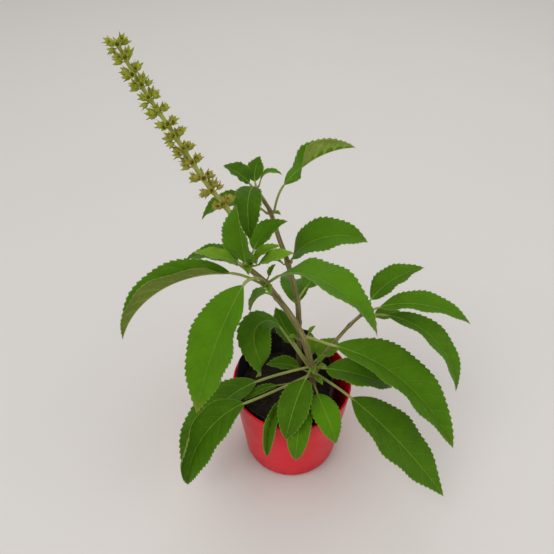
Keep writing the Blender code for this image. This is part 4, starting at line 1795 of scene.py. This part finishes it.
    def add_stalk(self, plan: LeafPlan, shape: Shape, inside: Array, start: Array,
                  stalk_line: Array, share: Array, line: Array, side: Array,
                  up: Array) -> None:
        """The stalk out of the stem, going on as the midrib under the blade.

        Args:
            plan: The leaf.
            shape: Where it goes.
            inside: A point inside the stem.
            start: Where the stalk leaves the stem.
            stalk_line: The stalk's points.
            share: Shares of the blade's length.
            line: The midrib's points on the blade.
            side: The direction to the right at each.
            up: The direction out of the upper face at each.
        """
        mm = self.site.growth
        least, per_mm, most = self.stalk_radius
        stout = min(most, least + per_mm * plan.width) * mm
        keep = slice(2, int(len(share) * self.midrib_end), 3)
        thin = stout * (0.13 + 0.50 * (1.0 - share[keep]) ** 1.2)
        sinking = smooth_between(share[keep], 0.0, 0.06)[:, None]
        sunk = line[keep] - up[keep] * (thin - 0.08 * mm)[:, None] * sinking
        near = np.array([inside + (start - inside) * t for t in (0.0, 0.5, 0.85)])
        path = np.vstack([near, start + (stalk_line[0] - start) * 0.5, stalk_line, sunk])
        path[2:5] = 0.25 * path[1:4] + 0.5 * path[2:5] + 0.25 * path[3:6]
        ahead = unit(np.gradient(path, axis=0))
        level = np.vstack([np.broadcast_to(side[0], (len(path) - len(sunk), 3)), side[keep]])
        over = unit(np.cross(level, ahead))
        level = np.cross(ahead, over)
        along = np.concatenate([[0.0], np.cumsum(np.linalg.norm(np.diff(path, axis=0), axis=1))])
        radii = np.concatenate([np.full(len(path) - len(sunk), stout), thin])
        radii[len(path) - len(sunk) - 1] = 0.5 * (stout + thin[0])
        radii = radii * (1.0 + self.flare * np.exp(-(along / (self.flare_reach * mm)) ** 2))
        angles = np.arange(self.stalk_sides) * math.tau / self.stalk_sides
        outline = 1.0 - 0.16 * np.maximum(0.0, np.sin(angles)) ** 3
        points, faces, place = tube(path, level, over, radii, outline)
        foot = 0.9 * (1.0 - smooth_between(place[:, 1], 0.0, 9.0))
        shape.add(points, faces, Side.STALK.value, place, None, foot)


@dataclass
class Foliage:
    """Every leaf of the plant, and the tiny young ones in the forks."""

    site: Site
    stems: Stems

    def build(self, palette: Palette) -> list[Piece]:
        """Build and dress the leaves.

        Args:
            palette: The finishes.

        Returns:
            A piece for each leaf, and one for the tiny ones.
        """
        builder = LeafBuilder(self.site, self.stems.runs)
        shades = np.random.default_rng(SEED)
        pieces = []
        for plan in LEAVES:
            young = plan.name in YOUNG_LEAVES
            shape = Shape()
            height = self.stems.runs[plan.stem].nodes[plan.node][2]
            # The leaf's tone follows its height: higher leaves lighter, lower and rear ones
            # darker. This is partly the crown's fresher growth and partly painted light on the lit
            # crown and painted shade on the leaves below and behind it.
            crown = smooth_between(
                np.array(height), 1.3 * self.site.soil_top, 2.5 * self.site.soil_top)
            if plan.stem == "stem_rear":
                crown = 0.35
            tone = SHADES.get(plan.name, 0.10 + 0.75 * float(crown))
            tone += float(shades.uniform(-0.08, 0.10))
            tone = min(1.0, max(0.0, tone))
            builder.build(plan, shape, tone, float(shades.uniform(0.0, 1.0)))
            item = shape.to_object(f"{plan.name}_leaf", palette.young if young else palette.leaf)
            pieces.append(Piece(item, Slot.YOUNG if young else Slot.LEAF, (f"leaf_{plan.name}",)))
        shape = Shape()
        for plan in BUDS:
            tone, wave = (float(shades.uniform(0.0, 1.0)) for _ in range(2))
            builder.build(plan, shape, tone, wave)
        pieces.append(Piece(shape.to_object("fork_shoots", palette.young), Slot.YOUNG))
        return pieces


# ---------- flower spike


@dataclass
class FlowerSpike:
    """The spike: its stalk and the rings of dry flower cups."""

    site: Site
    growth: Growth
    main: StemRun
    rings: int = 13
    first: float = 0.29
    last: float = 0.98
    crowding: float = 0.88
    cup_sides: int = 10
    cup_length: float = 5.9
    cup_width: float = 2.5
    pedicel: float = 2.2
    tilt: float = 0.60
    spread: float = 0.60
    swelling: float = 0.28
    swelling_reach: float = 1.6
    # Turn of each cup of a half ring in radians, and its height off the ring in millimetres.
    half_ring: tuple[tuple[float, float], ...] = (
        (-1.15, -0.30), (-0.40, 0.70), (0.40, -0.70), (1.15, 0.25))

    def cup(self) -> Shape:
        """One flower cup on its short stalk, along +Z from the origin, in metres.

        Returns:
            The shape; its points' lamina X is 1 on the seeds.
        """
        mm = self.site.growth
        sides = self.cup_sides
        angles = np.arange(sides) * math.tau / sides
        tips = (np.arange(sides) % 2 == 0).astype(float)
        upper_lip = 0.5 + 0.5 * np.cos(angles)
        low, deep, wide = self.pedicel, self.cup_length, self.cup_width
        rings = []
        for level, radius in ((0.0, 0.32), (0.5 * low, 0.28), (low, 0.55)):
            rings.append((np.full(sides, level), np.full(sides, radius)))
        for share, radius in ((0.14, 0.62), (0.36, 0.80), (0.58, 0.78)):
            rings.append((np.full(sides, low + deep * share), np.full(sides, wide * radius)))
        rim = low + deep * (0.66 + 0.06 * tips)
        rings.append((rim, wide * (0.80 + 0.05 * tips)))
        reach = tips * (0.26 + 0.28 * upper_lip)
        rings.append((rim + deep * reach * 0.80, wide * (0.80 + 1.05 * reach)))
        rings.append((rim + deep * reach * 0.80 - 0.12, wide * (0.74 + 1.05 * reach)))
        rings.append((rim - 0.1, wide * (0.70 + 0.05 * tips)))
        rings.append((np.full(sides, low + deep * 0.48), np.full(sides, wide * 0.58)))
        rings.append((np.full(sides, low + deep * 0.26), np.full(sides, wide * 0.36)))
        points = mm * np.vstack([
            np.stack([r * np.cos(angles), r * np.sin(angles), z], -1) for z, r in rings])
        place = np.zeros((len(points), 3))
        place[:, 0] = np.tile(np.abs(angles - math.pi), len(rings))
        shape = Shape()
        shape.add(points, walled(len(rings), sides), 0, place)
        for turn in (0.4, 2.5, 4.6):
            centre = np.array((0.34 * wide * math.cos(turn), 0.34 * wide * math.sin(turn),
                               low + deep * 0.46))
            path = np.array([centre + (0, 0, dz) for dz in (-0.8, -0.4, 0.2, 0.6)]) * mm
            side, up = carried(path)
            radii = np.array((0.20, 0.48, 0.48, 0.16)) * mm
            nut, nut_faces, nut_place = tube(path, side, up, radii, np.ones(5))
            lamina = np.zeros((len(nut), 3))
            lamina[:, 0] = 1.0
            shape.add(nut, nut_faces, 0, nut_place, lamina)
        return shape

    def build(self, palette: Palette) -> list[Piece]:
        """Build and dress the spike.

        Args:
            palette: The finishes.

        Returns:
            The stalk and the rings of cups.
        """
        mm = self.site.growth
        foot, head, nodes = SPIKE_MM
        run = StemRun(self.site.grown(nodes), foot * mm, head * mm)
        path, count = flowing(np.vstack([self.main.nodes[-1], run.nodes]), 1.0 * MM)
        radii = np.array([run.radius(max(c - 1.0, 0.0)) for c in count])
        joints = [self.ring_spot(run, i) for i in range(self.rings)]
        for centre, _, _ in joints:
            away = np.linalg.norm(path - centre, axis=1)
            near = np.exp(-(away / (self.swelling_reach * mm)) ** 2)
            radii = radii * (1.0 + self.swelling * near)
        radii[-1] *= 0.4
        side, up = carried(path)
        angles = np.arange(20) * math.tau / 20
        points, faces, place = tube(path, side, up, radii, 1.0 + 0.12 * np.cos(4 * angles))
        skin = Shape()
        foot_tone = 0.8 * (1.0 - smooth_between(place[:, 1], 0.0, 45.0))
        skin.add(points, faces, 0, place, None, foot_tone)
        item = skin.to_object("spike_skin", [palette.spike])
        pieces = [Piece(item, Slot.SPIKE, ("spike_stalk",))]

        cup_shape = self.cup()
        cup = cup_shape.to_object("cup_pattern", [palette.calyx])
        inside = cup.data.attributes.new("inside", "FLOAT", "POINT")
        inside.data.foreach_set("value", np.concatenate(cup_shape.lamina)[:, 0].astype(np.float32))
        shades = np.random.default_rng(SEED + 1)
        for i, (centre, ahead, share) in enumerate(joints):
            first = unit(np.cross((0.0, -1.0, 0.0), ahead))
            second = np.cross(ahead, first)
            radius = run.radius(share * (len(run.nodes) - 1)) * 0.8
            offsets = []
            for group in (0.0, math.pi):
                for member, lean in self.half_ring:
                    turn = group + member + float(shades.uniform(-0.16, 0.16))
                    offsets.append((radius * math.cos(turn), radius * math.sin(turn), lean * mm))
            ring_mesh = bpy.data.meshes.new("ring_points")
            ring_mesh.from_pydata(offsets, [], [])
            ring = link("ring_points", ring_mesh)
            size = 1.08 - 0.16 * share
            name = f"flower_ring_{i + 1:02d}"
            mesh = self.growth.run(ring, self.growth.cups, {
                "Cup": cup, "Tilt": self.tilt, "Spread": self.spread, "Size": size,
                "Seed": SEED + i, "Material": palette.calyx, "Seeds": palette.seed}, name)
            bpy.data.objects.remove(ring)
            turn = Matrix(np.array([first, second, ahead]).T.tolist()).to_4x4()
            mesh.transform(Matrix.Translation(Vector(centre.tolist())) @ turn)
            self.shade(mesh, len(offsets), share, shades)
            pieces.append(Piece(link(name, mesh), Slot.CALYX, (f"whorl_{i + 1:02d}",)))
        bpy.data.objects.remove(cup)
        return pieces

    def ring_spot(self, run: StemRun, index: int) -> tuple[Array, Array, float]:
        """Where a ring of cups stands.

        Args:
            run: The spike's stalk.
            index: The ring's number from below, from 0.

        Returns:
            Its centre, the stalk's direction there and the share of the stalk's length.
        """
        share = self.first + (self.last - self.first) * (index / (self.rings - 1)) ** self.crowding
        spans = np.linalg.norm(np.diff(run.nodes, axis=0), axis=1)
        left = share * spans.sum()
        for start, end, span in zip(run.nodes, run.nodes[1:], spans):
            if left <= span:
                return start + (end - start) * left / span, unit(end - start), share
            left -= span
        return run.nodes[-1], unit(run.nodes[-1] - run.nodes[-2]), share

    @staticmethod
    def shade(mesh: Mesh, cups: int, share: float, shades: np.random.Generator) -> None:
        """Give each cup of a ring its own age.

        Args:
            mesh: The ring's mesh.
            cups: How many cups it has.
            share: Where the ring stands on the spike, 0 to 1.
            shades: The random draws.
        """
        each = len(mesh.vertices) // cups
        ages = np.clip(1.25 - 1.6 * share + shades.uniform(-0.2, 0.25, cups), 0.0, 1.0)
        tone = np.repeat(ages, each)
        tone = np.concatenate([tone, np.full(len(mesh.vertices) - len(tone), ages[-1])])
        mesh.attributes["tone"].data.foreach_set("value", tone.astype(np.float32))
        mesh.polygons.foreach_set("use_smooth", np.ones(len(mesh.polygons), bool))


# ---------- studio


@dataclass
class Studio:
    """Floor, soft lights, camera."""

    floor_half: float = 4.0
    camera_place: tuple[float, float, float] = (-0.014, -0.3208, 0.514)
    camera_pitch: float = 48.13
    aim_height: float = 0.15
    lens: float = 36.0
    sensor: float = 36.0
    # name, place, size and power of each lamp; all face the plant
    lamps: tuple[tuple[str, tuple[float, float, float], float, float], ...] = (
        ("key", (-0.9, -0.9, 1.8), 1.4, 16.0),
        ("fill", (1.3, -0.5, 1.3), 1.4, 7.0),
        ("back", (0.2, 1.4, 1.5), 1.2, 5.0))
    sky: Colour = (1.0, 0.985, 0.96, 1.0)
    sky_strength: float = 0.60

    def build(self, palette: Palette) -> None:
        """Set the stage round the plant.

        Args:
            palette: The finishes.
        """
        half = self.floor_half
        mesh = bpy.data.meshes.new("floor")
        corners = [(-half, -half, 0.0), (half, -half, 0.0), (half, half, 0.0), (-half, half, 0.0)]
        mesh.from_pydata(corners, [], [(0, 1, 2, 3)])
        mesh.materials.append(palette.floor)
        link("floor", mesh)
        scene = bpy.context.scene
        for name, place, size, power in self.lamps:
            lamp = bpy.data.lights.new(name, "AREA")
            lamp.size, lamp.energy = size, power
            item = bpy.data.objects.new(name, lamp)
            item.location = place
            aim = Vector((0.0, 0.0, self.aim_height)) - Vector(place)
            item.rotation_euler = aim.to_track_quat("-Z", "Y").to_euler()
            scene.collection.objects.link(item)
        world = bpy.data.worlds.new("sky")
        world.use_nodes = True
        sky = world.node_tree.nodes["Background"]
        sky.inputs["Color"].default_value = self.sky
        sky.inputs["Strength"].default_value = self.sky_strength
        scene.world = world
        scene.view_settings.view_transform = "Standard"
        data = bpy.data.cameras.new("camera")
        data.lens, data.sensor_width = self.lens, self.sensor
        data.clip_start, data.clip_end = 0.01, 20.0
        camera = bpy.data.objects.new("camera", data)
        camera.location = self.camera_place
        camera.rotation_euler = (math.radians(self.camera_pitch), 0.0, 0.0)
        scene.collection.objects.link(camera)
        scene.camera = camera


def write_sizes() -> None:
    """Bring the scene's view layer up to date.
    """
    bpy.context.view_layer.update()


def main() -> None:
    """Build every assembly in order and report each piece."""
    logging.basicConfig(level=logging.INFO, format="%(message)s")
    site = Site.from_frame()
    effects, growth = Effects(), Growth()
    palette = Palette(effects)
    stems = Stems(site, growth)
    assemblies = (Pot(site), NurseryBag(site), SoilBed(site, growth), stems, Foliage(site, stems),
                  FlowerSpike(site, growth, stems.runs["stem_main"]))
    for assembly in assemblies:
        for piece in assembly.build(palette):
            piece.settle()
    Studio().build(palette)
    write_sizes()


if __name__ == "__main__":
    main()
